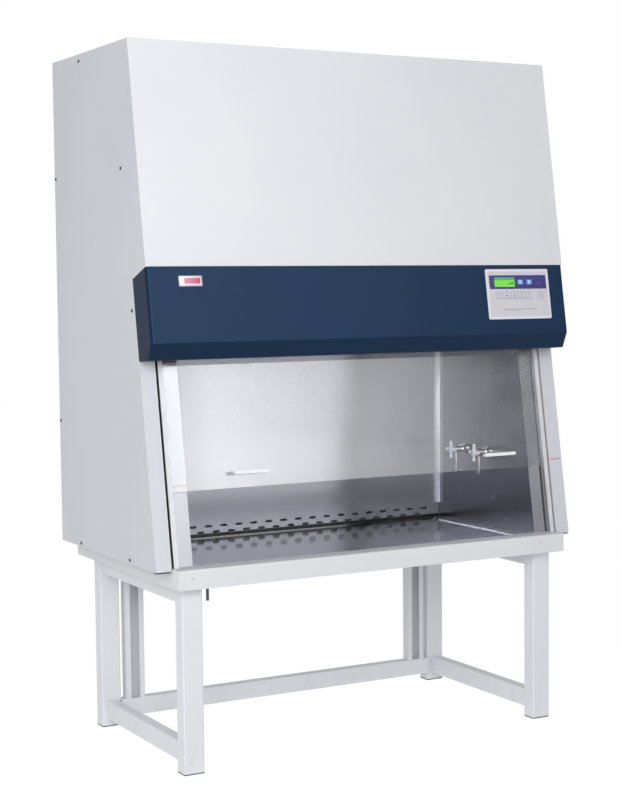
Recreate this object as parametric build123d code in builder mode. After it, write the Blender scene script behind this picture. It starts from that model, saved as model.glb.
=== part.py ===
from build123d import *
import os
from math import cos, radians, sin, tan

# A four-foot Class II biosafety cabinet on its own stand, in millimetres.
# +X is to the user's right, +Y to the rear and +Z up. The origin lies on the floor, under the middle
# of the footprint. "Depth" is measured square to the sash plane, from the front of the case rearward.

os.makedirs("parts", exist_ok=True)

# --- Case
case_width = 1360.0
case_depth = 699.0
cabinet_height = 1972.0
slope_angle = 9.15
nose_offset = 94.0
case_sheet = 2.0
case_flange = 44.0
case_seam = 0.5
case_corner_radius = 3.0

# --- Stand
stand_height = 510.0
leg_inset = 73.0
leg_width = 60.0
leg_depth = 47.0
leg_wall = 2.5
leg_corner_radius = 4.0
leg_cap_height = 3.0
rear_leg_setback = 585.0
upper_beam_width = 50.0
upper_beam_height = 46.0
lower_beam_width = 36.0
lower_beam_height = 55.0
lower_beam_clearance = 25.0
cross_beam_depth = 36.0
cross_beam_height = 52.0
cross_beam_setback = 580.0
rail_inset = 150.0
rear_rail_width = 60.0
rear_rail_depth = 30.0
rear_rail_lip = 16.0

# --- Base and sill
base_height = 54.0
base_inset = 47.6
base_lap = 6.0
base_corner_radius = 6.0
sill_overhang = 37.0
sill_land = 16.0
sill_drop = 24.0
drain_radius = 4.0
drain_length = 42.0
drain_inset = 154.0
drain_setback = 12.0
drain_nut_radius = 9.0
drain_nut_height = 7.0

# --- Control housing
housing_bottom = 1114.0
housing_chin_rise = 5.0
housing_chin_depth = 66.0
housing_bevel_height = 50.0
housing_rear_top = 1333.0
housing_front_top = 1366.0
housing_corner_radius = 9.0

# --- Keypad on the housing
keypad_inset = 57.0
keypad_width = 226.0
keypad_bottom = 1207.0
keypad_height = 149.0
keypad_thickness = 3.0
keypad_corner_radius = 5.0
window_side_margin = 12.0
window_top_margin = 20.0
window_height = 38.0
window_thickness = 1.0
screen_width = 72.0
screen_height = 28.0
screen_inset = 17.0
digit_width = 20.0
digit_height = 14.0
digit_inset = 112.0
digit_pitch = 32.0
display_gap = 0.2
key_width = 20.0
key_height = 15.0
key_pitch = 26.7
key_inset = 42.0
key_rise = 69.0
last_key_inset = 192.0
key_count = 5
key_proud = 1.2
key_gap = 0.4
key_flange = 1.5
key_flange_thickness = 1.0
key_stem_radius = 2.5
key_travel = 0.8
board_depth = 12.0
board_thickness = 1.6
board_margin = 8.0
standoff_radius = 4.0
switch_size = 6.0
switch_height = 4.0

# --- Work chamber
chamber_inset = 67.0
chamber_depth = 620.0
steel_sheet = 2.0
front_return = 48.0
cove_radius = 20.0
cove_leg = 10.0
tray_top = 544.0
tray_dish = 5.0
tray_rim = 24.0
tray_skirt = 18.0
tray_front = 94.0
tray_gap = 1.5
tray_corner_radius = 12.0
ledge_width = 18.0
strip_height = 62.0
strip_setback = 4.0
slot_length = 24.0
slot_width = 7.0
slot_pitch = 52.5
slot_row_low = 556.0
slot_row_pitch = 18.0
duct_mouth_margin = 24.0
grille_slot_length = 38.0
grille_slot_width = 9.0
grille_slot_pitch = 50.0

# --- Sash
glass_thickness = 6.0
glass_length = 600.0
glass_edge_radius = 1.0
sash_opening = 200.0
sash_travel_up = 300.0
track_width = 14.0
track_depth = 16.0
track_wall = 2.5
track_front = 1.0
track_length = 1150.0
glass_play = 0.5
top_rail_height = 24.0
top_rail_wall = 3.0
top_rail_end_gap = 2.0
handle_length = 108.0
handle_height = 10.0
handle_thickness = 8.0
handle_reach = 28.0
handle_post_radius = 4.0
handle_post_margin = 12.0
handle_rise = 40.0
handle_inset = 245.0
right_handle_inset = 182.0

# --- Sash counterbalance
cable_radius = 1.0
pulley_radius = 30.0
pulley_rim = 34.0
pulley_width = 7.0
pulley_height = 1850.0
axle_radius = 4.0
axle_head_radius = 7.0
axle_head = 2.0
running_fit = 0.05
weight_thickness = 10.0
weight_width = 124.0
weight_height = 640.0
weight_drop = 250.0
weight_play = 0.5
guide_sheet = 1.0
guide_lip = 12.0
guide_margin = 5.0

# --- Filters, plenum and fan
diffuser_height = 1158.0
diffuser_slot_length = 90.0
diffuser_slot_width = 12.0
diffuser_columns = 10
diffuser_rows = 7
diffuser_front_gap = 14.0
filter_rail_height = 30.0
filter_rail_width = 20.0
filter_thickness = 90.0
filter_wall = 18.0
filter_setback = 14.0
pleat_pitch = 24.0
pleat_sheet = 3.0
gasket_thickness = 4.0
gasket_width = 14.0
deck_height = 1500.0
plenum_lap = 12.0
plenum_top = 1960.0
wheel_radius = 115.0
wheel_width = 120.0
wheel_bore = 92.0
wheel_plate = 3.0
wheel_blades = 28
blade_thickness = 2.0
blade_sweep = 10.0
shaft_radius = 7.0
hub_radius = 18.0
fan_duct_spacing = 520.0
fan_setback = 440.0
fan_height = 1700.0
scroll_start = -100.0
scroll_sweep = 280.0
scroll_steps = 8
scroll_gap = 20.0
scroll_growth = 55.0
scroll_side_gap = 10.0
scroll_sheet = 2.0
motor_radius = 72.0
motor_length = 150.0
motor_corner_radius = 8.0
shaft_engagement = 45.0
duct_width = 360.0
duct_depth = 260.0
duct_side_clearance = 53.0
duct_setback = 460.0
duct_flange = 16.0
exhaust_filter_height = 86.0
guard_margin = 20.0
guard_slot_length = 70.0
guard_slot_width = 8.0
guard_columns = 4
guard_rows = 12

# --- Lamps
lamp_radius = 13.0
lamp_length = 900.0
lamp_front = 66.0
uv_lamp_radius = 8.0
uv_lamp_length = 600.0
uv_lamp_setback = 60.0
lamp_drop = 22.0
holder_width = 14.0
holder_margin = 6.0

# --- Service cocks
cock_height = 780.0
cock_front_setback = 330.0
cock_pitch = 130.0
rosette_radius = 17.0
rosette_thickness = 6.0
cock_body_radius = 10.0
cock_body_length = 40.0
spindle_radius = 4.0
nozzle_reach = 28.0
nozzle_radius = 5.0
nozzle_bore = 2.5
nozzle_length = 68.0
barb_radius = 6.5
barb_count = 3
barb_pitch = 9.0
cross_span = 50.0
cross_arm_radius = 4.0
cross_hub_radius = 8.0
cross_hub_length = 16.0

# --- Screws
screw_head_radius = 4.5
screw_head_height = 2.2
screw_radius = 2.0
screw_clearance = 0.3
screw_length = 9.0
screw_edge = 20.0
upper_screw_setback = 213.0
upper_screw_pitch = 320.0
neck_screw_z = 1249.0
rear_screw_z = 918.0
lower_screw_setback = 157.0
lower_screw_pitch = 364.0

# --- Power inlet
inlet_width = 28.0
inlet_height = 20.0
inlet_depth = 24.0
inlet_flange = 10.0
inlet_wall = 3.0
inlet_inset = 260.0
inlet_rise = 660.0
pin_radius = 2.0

# --- Derived places
half_width = case_width / 2
rear_y = (case_depth + sill_overhang) / 2
case_front = rear_y - case_depth
sill_front = case_front - sill_overhang
base_top = stand_height + base_height
case_bottom = base_top - base_lap
panel_top = cabinet_height - case_sheet
chamber_half = half_width - chamber_inset
chamber_rear = case_front + chamber_depth
duct_centre = chamber_half - duct_side_clearance - duct_width / 2
fan_centre = duct_centre - fan_duct_spacing
inlet_offset = half_width - inlet_inset
slope = radians(slope_angle)
run = tan(slope)
base_half = half_width - base_inset
ledge_top = tray_top - tray_skirt
glass_depth = track_front + (track_depth - glass_thickness) / 2
return_depth = track_front + track_depth
wall_depth = return_depth + steel_sheet
cable_side = chamber_half + track_width - track_wall - glass_play - 2 * cable_radius
sash_plane = Plane(origin=(0, case_front, case_bottom), x_dir=(1, 0, 0), z_dir=(0, -cos(slope), sin(slope)))
nose_plane = Plane(
    origin=(0, case_front - nose_offset, case_bottom), x_dir=(1, 0, 0), z_dir=(0, -cos(slope), sin(slope))
)


def slope_y(z, depth=0.0):
    """The y of the sash plane at a height, or of a plane parallel to it at a depth behind it."""
    return case_front + (z - case_bottom) * run + depth / cos(slope)


def nose_y(z, depth=0.0):
    """The y of the upper front plane at a height."""
    return slope_y(z, depth) - nose_offset


def up_slope(z, depth=0.0):
    """Distance up the sash plane from its origin to the point at a height and depth."""
    return (z - case_bottom + depth * sin(slope)) / cos(slope)


def write(part, label):
    """Label a finished piece and write its STEP file."""
    part.label = label
    export_step(part, f"parts/{label}.step")


def sides(name):
    """The two sides, each with its node name and the sign of its x."""
    return ((f"left_{name}", -1), (f"right_{name}", 1))


# --- Stand
leg_x = half_width - leg_inset - leg_width / 2
front_leg_y = case_front + leg_depth / 2
rear_leg_y = case_front + rear_leg_setback + leg_depth / 2
leg_places = [(x, y) for x in (-leg_x, leg_x) for y in (front_leg_y, rear_leg_y)]

with BuildPart() as stand_legs:
    with BuildSketch(Plane.XY.offset(leg_cap_height)):
        with Locations(*leg_places):
            RectangleRounded(leg_width, leg_depth, leg_corner_radius)
            RectangleRounded(
                leg_width - 2 * leg_wall, leg_depth - 2 * leg_wall, leg_corner_radius - leg_wall,
                mode=Mode.SUBTRACT,
            )
    extrude(amount=stand_height - leg_cap_height)
write(stand_legs.part, "stand_legs")

with BuildPart() as leg_caps:
    with BuildSketch():
        with Locations(*leg_places):
            RectangleRounded(leg_width, leg_depth, leg_corner_radius)
    extrude(amount=leg_cap_height)
write(leg_caps.part, "leg_caps")

side_beam_length = rear_leg_y - front_leg_y - leg_depth
cross_beam_y = case_front + cross_beam_setback + cross_beam_depth / 2
cross_beam_length = 2 * (leg_x - leg_width / 2)
with BuildPart() as stand_beams:
    with BuildSketch(Plane.XZ.offset(-front_leg_y - leg_depth / 2)):
        for centre, width, height in (
            (stand_height - upper_beam_height / 2, upper_beam_width, upper_beam_height),
            (lower_beam_clearance + lower_beam_height / 2, lower_beam_width, lower_beam_height),
        ):
            with Locations((-leg_x, centre), (leg_x, centre)):
                RectangleRounded(width, height, leg_corner_radius)
                RectangleRounded(
                    width - 2 * leg_wall, height - 2 * leg_wall, leg_corner_radius - leg_wall,
                    mode=Mode.SUBTRACT,
                )
    extrude(amount=-side_beam_length)
    with BuildSketch(Plane.YZ.offset(-cross_beam_length / 2)):
        with Locations((cross_beam_y, lower_beam_clearance + cross_beam_height / 2)):
            RectangleRounded(cross_beam_depth, cross_beam_height, leg_corner_radius)
            RectangleRounded(
                cross_beam_depth - 2 * leg_wall, cross_beam_height - 2 * leg_wall,
                leg_corner_radius - leg_wall, mode=Mode.SUBTRACT,
            )
    extrude(amount=cross_beam_length)
write(stand_beams.part, "stand_beams")

rear_rail_x = half_width - rail_inset - rear_rail_width / 2
with BuildPart() as rear_rails:
    with BuildSketch(Plane.XY.offset(lower_beam_clearance + cross_beam_height)):
        with Locations((-rear_rail_x, cross_beam_y), (rear_rail_x, cross_beam_y)):
            Rectangle(rear_rail_width, rear_rail_depth)
        with Locations((-rear_rail_x, cross_beam_y - leg_wall), (rear_rail_x, cross_beam_y - leg_wall)):
            Rectangle(rear_rail_width - 2 * leg_wall, rear_rail_depth, mode=Mode.SUBTRACT)
        lip_y = cross_beam_y - rear_rail_depth / 2 + leg_wall / 2
        lip_x = rear_rail_width / 2 - rear_rail_lip / 2
        with Locations(*[(s * rear_rail_x + t * lip_x, lip_y) for s in (-1, 1) for t in (-1, 1)]):
            Rectangle(rear_rail_lip, leg_wall)
    extrude(amount=stand_height - lower_beam_clearance - cross_beam_height)
write(rear_rails.part, "rear_rails")

# --- Base: an open pan with a front sill, whose back edge turns down behind the sash plane
base_rear = rear_y - case_sheet
sill_back = case_front + sill_land
with BuildPart() as base_pan:
    with BuildSketch(Plane.XY.offset(stand_height)):
        with Locations((0, (sill_front + base_rear) / 2)):
            Rectangle(2 * base_half, base_rear - sill_front)
    extrude(amount=base_height)
    rounded = base_pan.edges().filter_by(Axis.X).group_by(Axis.Y)[0].sort_by(Axis.Z)[-1]
    fillet(rounded, base_corner_radius)
    with BuildSketch(Plane.XY.offset(stand_height + case_sheet)):
        with Locations((0, (sill_back + base_rear) / 2)):
            Rectangle(2 * (base_half - case_sheet), base_rear - sill_back - 2 * case_sheet)
    extrude(amount=base_height, mode=Mode.SUBTRACT)
    with BuildSketch(Plane.XY.offset(stand_height + case_sheet)):
        with Locations((0, (sill_front + sill_back) / 2)):
            Rectangle(2 * (base_half - case_sheet), sill_back - sill_front - 2 * case_sheet)
    extrude(amount=base_height - 2 * case_sheet, mode=Mode.SUBTRACT)
    with BuildSketch(Plane.XZ.offset(-sill_back + 2 * case_sheet)):
        with Locations((0, base_top - sill_drop - base_height / 2)):
            Rectangle(2 * (base_half - case_sheet), base_height - 2 * case_sheet)
    extrude(amount=-4 * case_sheet, mode=Mode.SUBTRACT)
    with BuildSketch():
        with Locations((drain_inset - half_width, case_front + drain_setback)):
            Circle(drain_radius + screw_clearance)
    extrude(amount=base_top - case_sheet, mode=Mode.SUBTRACT)
write(base_pan.part, "base_pan")

with BuildPart() as drain_spout:
    with BuildSketch(Plane.XY.offset(stand_height - drain_length)):
        with Locations((drain_inset - half_width, case_front + drain_setback)):
            Circle(drain_radius)
            Circle(drain_radius / 2, mode=Mode.SUBTRACT)
    extrude(amount=drain_length + case_sheet)
    with BuildSketch(Plane.XY.offset(stand_height - drain_nut_height)):
        with Locations((drain_inset - half_width, case_front + drain_setback)):
            RegularPolygon(drain_nut_radius, 6)
            Circle(drain_radius, mode=Mode.SUBTRACT)
    extrude(amount=drain_nut_height)
write(drain_spout.part, "drain_spout")

# --- Case panels
diagonal_share = 1 - case_sheet / (cos(slope) * nose_offset)
diagonal_run = nose_y(housing_front_top) - slope_y(housing_rear_top)
diagonal_y = slope_y(housing_rear_top) + diagonal_share * diagonal_run
diagonal_z = housing_rear_top + diagonal_share * (housing_front_top - housing_rear_top)
upper_screw_z = cabinet_height - screw_edge
middle_screw_z = upper_screw_z - upper_screw_pitch
lower_screw_z = case_bottom + screw_edge / 2
screw_places = (
    (rear_y - upper_screw_setback, upper_screw_z),
    (rear_y - screw_edge / 2, middle_screw_z),
    (slope_y(middle_screw_z) + screw_edge, middle_screw_z),
    (slope_y(neck_screw_z) + screw_edge, neck_screw_z),
    (rear_y - screw_edge / 2, rear_screw_z),
    (rear_y - lower_screw_setback, lower_screw_z),
    (rear_y - lower_screw_setback - lower_screw_pitch, lower_screw_z),
)


def side_panel(side):
    """A side of the case: a pan whose flanges turn inward all round."""
    with BuildPart() as panel:
        with BuildSketch(Plane.YZ.offset(side * half_width)):
            with BuildLine():
                Polyline(
                    (case_front, case_bottom),
                    (slope_y(housing_rear_top), housing_rear_top),
                    (diagonal_y, diagonal_z),
                    (nose_y(panel_top, case_sheet), panel_top),
                    (rear_y - case_sheet, panel_top),
                    (rear_y - case_sheet, case_bottom),
                    close=True,
                )
            make_face()
        extrude(amount=-side * case_flange)
        inner_face = panel.faces().sort_by(Axis.X)[0 if side > 0 else -1]
        offset(amount=-case_sheet, openings=inner_face)
        with BuildSketch(Plane.YZ.offset(side * (half_width - case_sheet))):
            with Locations(*screw_places):
                Circle(screw_radius + screw_clearance)
        extrude(amount=side * case_sheet, mode=Mode.SUBTRACT)
    return panel.part


for label, side in sides("side_panel"):
    write(side_panel(side), label)

with BuildPart() as top_panel:
    with BuildSketch(Plane.XY.offset(panel_top)):
        with Locations((0, (nose_y(panel_top) + rear_y) / 2)):
            Rectangle(case_width, rear_y - nose_y(panel_top))
        with Locations((duct_centre, case_front + duct_setback)):
            RectangleRounded(duct_width, duct_depth, case_corner_radius, mode=Mode.SUBTRACT)
    extrude(amount=case_sheet)
write(top_panel.part, "top_panel")

with BuildPart() as rear_panel:
    with BuildSketch(Plane.XZ.offset(-rear_y)):
        with Locations((0, (case_bottom + panel_top) / 2)):
            Rectangle(case_width, panel_top - case_bottom)
        with Locations((inlet_offset, inlet_rise)):
            Rectangle(inlet_width + 2 * display_gap, inlet_height + 2 * display_gap, mode=Mode.SUBTRACT)
    extrude(amount=case_sheet)
write(rear_panel.part, "rear_panel")

front_panel_bottom = housing_front_top + case_seam
with BuildPart() as upper_front_panel:
    with BuildSketch(Plane.YZ.offset(-half_width)):
        with BuildLine():
            Polyline(
                (nose_y(front_panel_bottom), front_panel_bottom),
                (nose_y(panel_top), panel_top),
                (nose_y(panel_top, case_sheet), panel_top),
                (nose_y(front_panel_bottom, case_sheet), front_panel_bottom),
                close=True,
            )
        make_face()
    extrude(amount=case_width)
write(upper_front_panel.part, "upper_front_panel")

# --- Screws of the side panels: a pan head and a shank each
with BuildPart() as case_screws:
    for side in (-1, 1):
        with BuildSketch(Plane.YZ.offset(side * half_width)):
            with Locations(*screw_places):
                Circle(screw_head_radius)
        extrude(amount=side * screw_head_height)
        with BuildSketch(Plane.YZ.offset(side * half_width)):
            with Locations(*screw_places):
                Circle(screw_radius)
        extrude(amount=-side * screw_length)
    heads = case_screws.edges().filter_by(GeomType.CIRCLE).filter_by(
        lambda edge: abs(edge.center().X) > half_width + screw_head_height / 2
    )
    chamfer(heads, screw_head_height / 2)
write(case_screws.part, "case_screws")

# --- Control housing: a folded cover, open to the sash behind it
chin_z = housing_bottom + housing_chin_rise
chin_y = slope_y(housing_bottom) - housing_chin_depth
bevel_z = housing_bottom + housing_bevel_height
with BuildPart() as control_housing:
    with BuildSketch(Plane.YZ.offset(-half_width)):
        with BuildLine():
            Polyline(
                (slope_y(housing_rear_top), housing_rear_top),
                (nose_y(housing_front_top), housing_front_top),
                (nose_y(bevel_z), bevel_z),
                (chin_y, chin_z),
                (slope_y(housing_bottom), housing_bottom),
                close=True,
            )
        make_face()
    extrude(amount=case_width)
    corners = control_housing.edges().filter_by(
        lambda edge: abs(edge.center().X) > half_width - case_seam
        and edge.length > housing_bevel_height - case_flange / 2
        and edge.center().Y < slope_y(edge.center().Z) - nose_offset / 2
        and abs((edge @ 0).Z - (edge @ 1).Z) > housing_bevel_height / 2
    )
    fillet(corners, housing_corner_radius)
    back_face = control_housing.faces().sort_by(Axis.Y)[-1]
    offset(amount=-case_sheet, openings=back_face)
    with BuildSketch(nose_plane):
        with Locations(
            (
                half_width - keypad_inset - keypad_width / 2,
                up_slope(keypad_bottom) + keypad_height / 2,
            )
        ):
            Rectangle(keypad_width - 2 * board_margin, keypad_height - 2 * board_margin)
    extrude(amount=-2 * case_sheet, mode=Mode.SUBTRACT)
write(control_housing.part, "control_housing")

# --- Keypad: a plate on the housing, with keys that press small switches on the board behind it
keypad_left = half_width - keypad_inset - keypad_width
keypad_low = up_slope(keypad_bottom)
keypad_centre = (keypad_left + keypad_width / 2, keypad_low + keypad_height / 2)
keypad_face = nose_plane.offset(keypad_thickness)
window_width = keypad_width - 2 * window_side_margin
window_low = keypad_low + keypad_height - window_top_margin - window_height
window_centre = (keypad_centre[0], window_low + window_height / 2)
key_row = keypad_low + key_rise
key_places = [(keypad_left + key_inset + place * key_pitch, key_row) for place in range(key_count)]
key_places.append((keypad_left + last_key_inset, key_row))
screen_place = (keypad_left + window_side_margin + screen_inset + screen_width / 2, window_centre[1])
digit_left = keypad_left + digit_inset + digit_width / 2
digit_places = [(digit_left + place * digit_pitch, window_centre[1]) for place in range(2)]

with BuildPart() as keypad_plate:
    with BuildSketch(nose_plane):
        with Locations(keypad_centre):
            RectangleRounded(keypad_width, keypad_height, keypad_corner_radius)
        with Locations(*key_places):
            Rectangle(key_width + 2 * key_gap, key_height + 2 * key_gap, mode=Mode.SUBTRACT)
    extrude(amount=keypad_thickness)
    rim = keypad_plate.faces().filter_by(nose_plane).sort_by(Axis.Y)[0].outer_wire().edges()
    chamfer(rim, window_thickness)
    with BuildSketch(keypad_face):
        with Locations(window_centre):
            Rectangle(window_width + 2 * display_gap, window_height + 2 * display_gap)
    extrude(amount=-window_thickness, mode=Mode.SUBTRACT)
write(keypad_plate.part, "keypad_plate")

with BuildPart() as display_window:
    with BuildSketch(keypad_face.offset(-window_thickness)):
        with Locations(window_centre):
            Rectangle(window_width, window_height)
        with Locations(screen_place):
            Rectangle(screen_width + 2 * display_gap, screen_height + 2 * display_gap, mode=Mode.SUBTRACT)
        with Locations(*digit_places):
            Rectangle(digit_width + 2 * display_gap, digit_height + 2 * display_gap, mode=Mode.SUBTRACT)
    extrude(amount=window_thickness)
write(display_window.part, "display_window")

with BuildPart() as display_modules:
    with BuildSketch(keypad_face.offset(-window_thickness)):
        with Locations(screen_place):
            Rectangle(screen_width, screen_height)
        with Locations(*digit_places):
            Rectangle(digit_width, digit_height)
    extrude(amount=window_thickness)
write(display_modules.part, "display_modules")

# Each key: a cap that stands proud, a flange that stops behind the plate, and a stem to its switch.
stem_length = board_depth - switch_height - key_travel - key_flange_thickness
for number, place in enumerate(key_places, start=1):
    with BuildPart() as key:
        with BuildSketch(nose_plane):
            with Locations(place):
                Rectangle(key_width, key_height)
        extrude(amount=keypad_thickness + key_proud)
        cap_edges = key.faces().filter_by(nose_plane).sort_by(Axis.Y)[0].edges()
        fillet(cap_edges, key_gap)
        with BuildSketch(nose_plane):
            with Locations(place):
                Rectangle(key_width + 2 * key_flange, key_height + 2 * key_flange)
        extrude(amount=-key_flange_thickness)
        with BuildSketch(nose_plane.offset(-key_flange_thickness)):
            with Locations(place):
                Circle(key_stem_radius)
        extrude(amount=-stem_length)
    write(key.part, f"key_{number}")

standoff_across = keypad_width / 2 - 2 * board_margin
standoff_up = keypad_height / 2 - 2 * board_margin
with BuildPart() as control_board:
    with BuildSketch(nose_plane.offset(-board_depth)):
        with Locations(keypad_centre):
            Rectangle(keypad_width - 3 * board_margin, keypad_height - 3 * board_margin)
    extrude(amount=-board_thickness)
    with BuildSketch(nose_plane.offset(-board_depth)):
        with Locations(keypad_centre):
            with GridLocations(2 * standoff_across, 2 * standoff_up, 2, 2):
                Circle(standoff_radius)
    extrude(amount=board_depth)
    with BuildSketch(nose_plane.offset(-board_depth)):
        with Locations(*key_places):
            Rectangle(switch_size, switch_size)
    extrude(amount=switch_height)
write(control_board.part, "control_board")

# --- Work chamber: two side walls with front returns, a back wall with rounded corners, tray and grille
wall_bottom = stand_height + case_sheet
cock_places = [(case_front + cock_front_setback + place * cock_pitch, cock_height) for place in range(2)]


def inner_wall(side):
    """A side wall of the chamber and plenum, folded inward along the sash track."""
    with BuildPart() as wall:
        with BuildSketch(Plane.YZ.offset(side * chamber_half)):
            with BuildLine():
                Polyline(
                    (sill_back + case_sheet, wall_bottom),
                    (chamber_rear, wall_bottom),
                    (chamber_rear, plenum_top),
                    (slope_y(plenum_top, wall_depth), plenum_top),
                    (slope_y(base_top, wall_depth), base_top),
                    (sill_back + case_sheet, base_top),
                    close=True,
                )
            make_face()
        extrude(amount=side * steel_sheet)
        with BuildSketch(Plane.YZ.offset(side * (chamber_half + steel_sheet))):
            with BuildLine():
                Polyline(
                    (slope_y(base_top, return_depth), base_top),
                    (slope_y(plenum_top, return_depth), plenum_top),
                    (slope_y(plenum_top, wall_depth), plenum_top),
                    (slope_y(base_top, wall_depth), base_top),
                    close=True,
                )
            make_face()
        extrude(amount=-side * (front_return + steel_sheet))
        if side > 0:
            with BuildSketch(Plane.YZ.offset(side * chamber_half)):
                with Locations(*cock_places):
                    Circle(spindle_radius + screw_clearance)
            extrude(amount=side * steel_sheet, mode=Mode.SUBTRACT)
    return wall.part


for label, side in sides("inner_wall"):
    write(inner_wall(side), label)

strip_top = ledge_top + strip_height
cove_depth = cove_radius + steel_sheet + cove_leg
with BuildPart() as chamber_back_wall:
    with BuildSketch(Plane.XY.offset(strip_top + case_seam)):
        with Locations((0, chamber_rear - cove_depth / 2)):
            Rectangle(2 * chamber_half, cove_depth)
    extrude(amount=diffuser_height - steel_sheet - strip_top - case_seam)
    bends = chamber_back_wall.edges().filter_by(Axis.Z).group_by(Axis.Y)[-1]
    fillet(bends, cove_radius + steel_sheet)
    front_face = chamber_back_wall.faces().sort_by(Axis.Y)[0]
    ends = chamber_back_wall.faces().filter_by(Axis.Z)
    offset(amount=-steel_sheet, openings=[front_face, *ends])
    with BuildSketch(Plane.XZ.offset(-chamber_rear)):
        with Locations((0, (wall_bottom + strip_top + case_seam) / 2)):
            Rectangle(2 * (chamber_half - cove_radius - steel_sheet), strip_top + case_seam - wall_bottom)
        with Locations((0, (ledge_top + strip_top) / 2)):
            Rectangle(
                2 * (chamber_half - cove_radius - duct_mouth_margin), strip_height - 2 * strip_setback,
                mode=Mode.SUBTRACT,
            )
    extrude(amount=steel_sheet)
write(chamber_back_wall.part, "chamber_back_wall")

# The slotted strip stands on the tray ledges in front of the duct mouth and folds back to the wall.
strip_y = chamber_rear - steel_sheet - strip_setback
strip_half = chamber_half - tray_gap
slot_count = int(2 * (strip_half - slot_length) / slot_pitch)
with BuildPart() as rear_slot_strip:
    with BuildSketch(Plane.XZ.offset(-strip_y)):
        with Locations((0, (ledge_top + strip_top) / 2)):
            Rectangle(2 * strip_half, strip_height)
    extrude(amount=steel_sheet)
    with BuildSketch(Plane.XY.offset(strip_top)):
        with Locations((0, (strip_y - steel_sheet + chamber_rear - steel_sheet) / 2)):
            Rectangle(2 * (strip_half - cove_radius), strip_setback + steel_sheet)
    extrude(amount=-steel_sheet)
    with BuildSketch(Plane.XZ.offset(-strip_y)):
        with Locations((0, slot_row_low + slot_row_pitch)):
            with GridLocations(slot_pitch, slot_pitch, slot_count, 1):
                SlotOverall(slot_length, slot_width)
        with Locations((0, slot_row_low)):
            with GridLocations(slot_pitch, slot_pitch, slot_count - 1, 1):
                SlotOverall(slot_length, slot_width)
    extrude(amount=steel_sheet, mode=Mode.SUBTRACT)
write(rear_slot_strip.part, "rear_slot_strip")

# The tray: a pressed dish inside a flat rim, with a skirt that rests on the ledges.
tray_half = chamber_half - tray_gap
tray_y_low = case_front + tray_front
tray_y_high = strip_y - steel_sheet - tray_gap
tray_middle = (tray_y_low + tray_y_high) / 2
tray_depth = tray_y_high - tray_y_low
with BuildPart() as work_tray:
    with BuildSketch(Plane.XY.offset(ledge_top)):
        with Locations((0, tray_middle)):
            Rectangle(2 * tray_half, tray_depth)
        with Locations((0, tray_middle)):
            Rectangle(2 * (tray_half - steel_sheet), tray_depth - 2 * steel_sheet, mode=Mode.SUBTRACT)
    extrude(amount=tray_skirt)
    with BuildSketch(Plane.XY.offset(tray_top - steel_sheet)):
        with Locations((0, tray_middle)):
            Rectangle(2 * tray_half - steel_sheet, tray_depth - steel_sheet)
    extrude(amount=steel_sheet)
    for level, wall, corner, mode in (
        (tray_top - steel_sheet, steel_sheet, tray_corner_radius + steel_sheet, Mode.ADD),
        (tray_top, 0, tray_corner_radius, Mode.SUBTRACT),
    ):
        with BuildSketch(Plane.XY.offset(level)):
            with Locations((0, tray_middle)):
                RectangleRounded(
                    2 * (tray_half - tray_rim + wall), tray_depth - 2 * (tray_rim - wall), corner
                )
        extrude(amount=-tray_dish, taper=slope_angle, mode=mode)
write(work_tray.part, "work_tray")

grille_y_low = sill_back + case_sheet + tray_gap
grille_y_high = tray_y_low - tray_gap
grille_middle = (grille_y_low + grille_y_high) / 2
grille_depth = grille_y_high - grille_y_low
grille_slot_count = int(2 * (tray_half - grille_slot_length) / grille_slot_pitch)
with BuildPart() as front_intake_grille:
    with BuildSketch(Plane.XY.offset(ledge_top)):
        with Locations((0, grille_middle)):
            Rectangle(2 * tray_half, grille_depth)
    extrude(amount=tray_skirt)
    bottom = front_intake_grille.faces().sort_by(Axis.Z)[0]
    offset(amount=-steel_sheet, openings=bottom)
    with BuildSketch(Plane.XY.offset(tray_top)):
        with Locations((0, grille_middle)):
            with GridLocations(grille_slot_pitch, grille_depth / 2, grille_slot_count, 2):
                SlotOverall(grille_slot_length, grille_slot_width)
    extrude(amount=-steel_sheet, mode=Mode.SUBTRACT)
write(front_intake_grille.part, "front_intake_grille")

# Ledges of the tray: an angle along each side wall, standing on the base pan.
ledge_y_low = grille_y_low
ledge_y_high = chamber_rear - steel_sheet
with BuildPart() as tray_ledges:
    for side in (-1, 1):
        with BuildSketch(Plane.XY.offset(wall_bottom)):
            with Locations((side * (chamber_half - steel_sheet / 2), (ledge_y_low + ledge_y_high) / 2)):
                Rectangle(steel_sheet, ledge_y_high - ledge_y_low)
        extrude(amount=ledge_top - wall_bottom)
        with BuildSketch(Plane.XY.offset(ledge_top)):
            with Locations((side * (chamber_half - ledge_width / 2), (ledge_y_low + ledge_y_high) / 2)):
                Rectangle(ledge_width, ledge_y_high - ledge_y_low)
        extrude(amount=-steel_sheet)
write(tray_ledges.part, "tray_ledges")

# --- Sash: frameless glass in two tracks, a rail on its top edge and two pull bars
track_slot = glass_thickness + 2 * glass_play
track_x = chamber_half + track_width / 2
slot_reach = track_width - track_wall
with BuildPart() as sash_tracks:
    for side in (-1, 1):
        with BuildSketch(sash_plane.offset(-track_front)):
            with Locations((side * track_x, track_length / 2)):
                Rectangle(track_width, track_length)
        extrude(amount=-track_depth)
        with BuildSketch(sash_plane.offset(-glass_depth + glass_play)):
            with Locations((side * (chamber_half + slot_reach / 2), track_length / 2)):
                Rectangle(slot_reach, track_length)
        extrude(amount=-track_slot, mode=Mode.SUBTRACT)
    split(bisect_by=Plane.XY.offset(base_top), keep=Keep.TOP)
write(sash_tracks.part, "sash_tracks")

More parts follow.
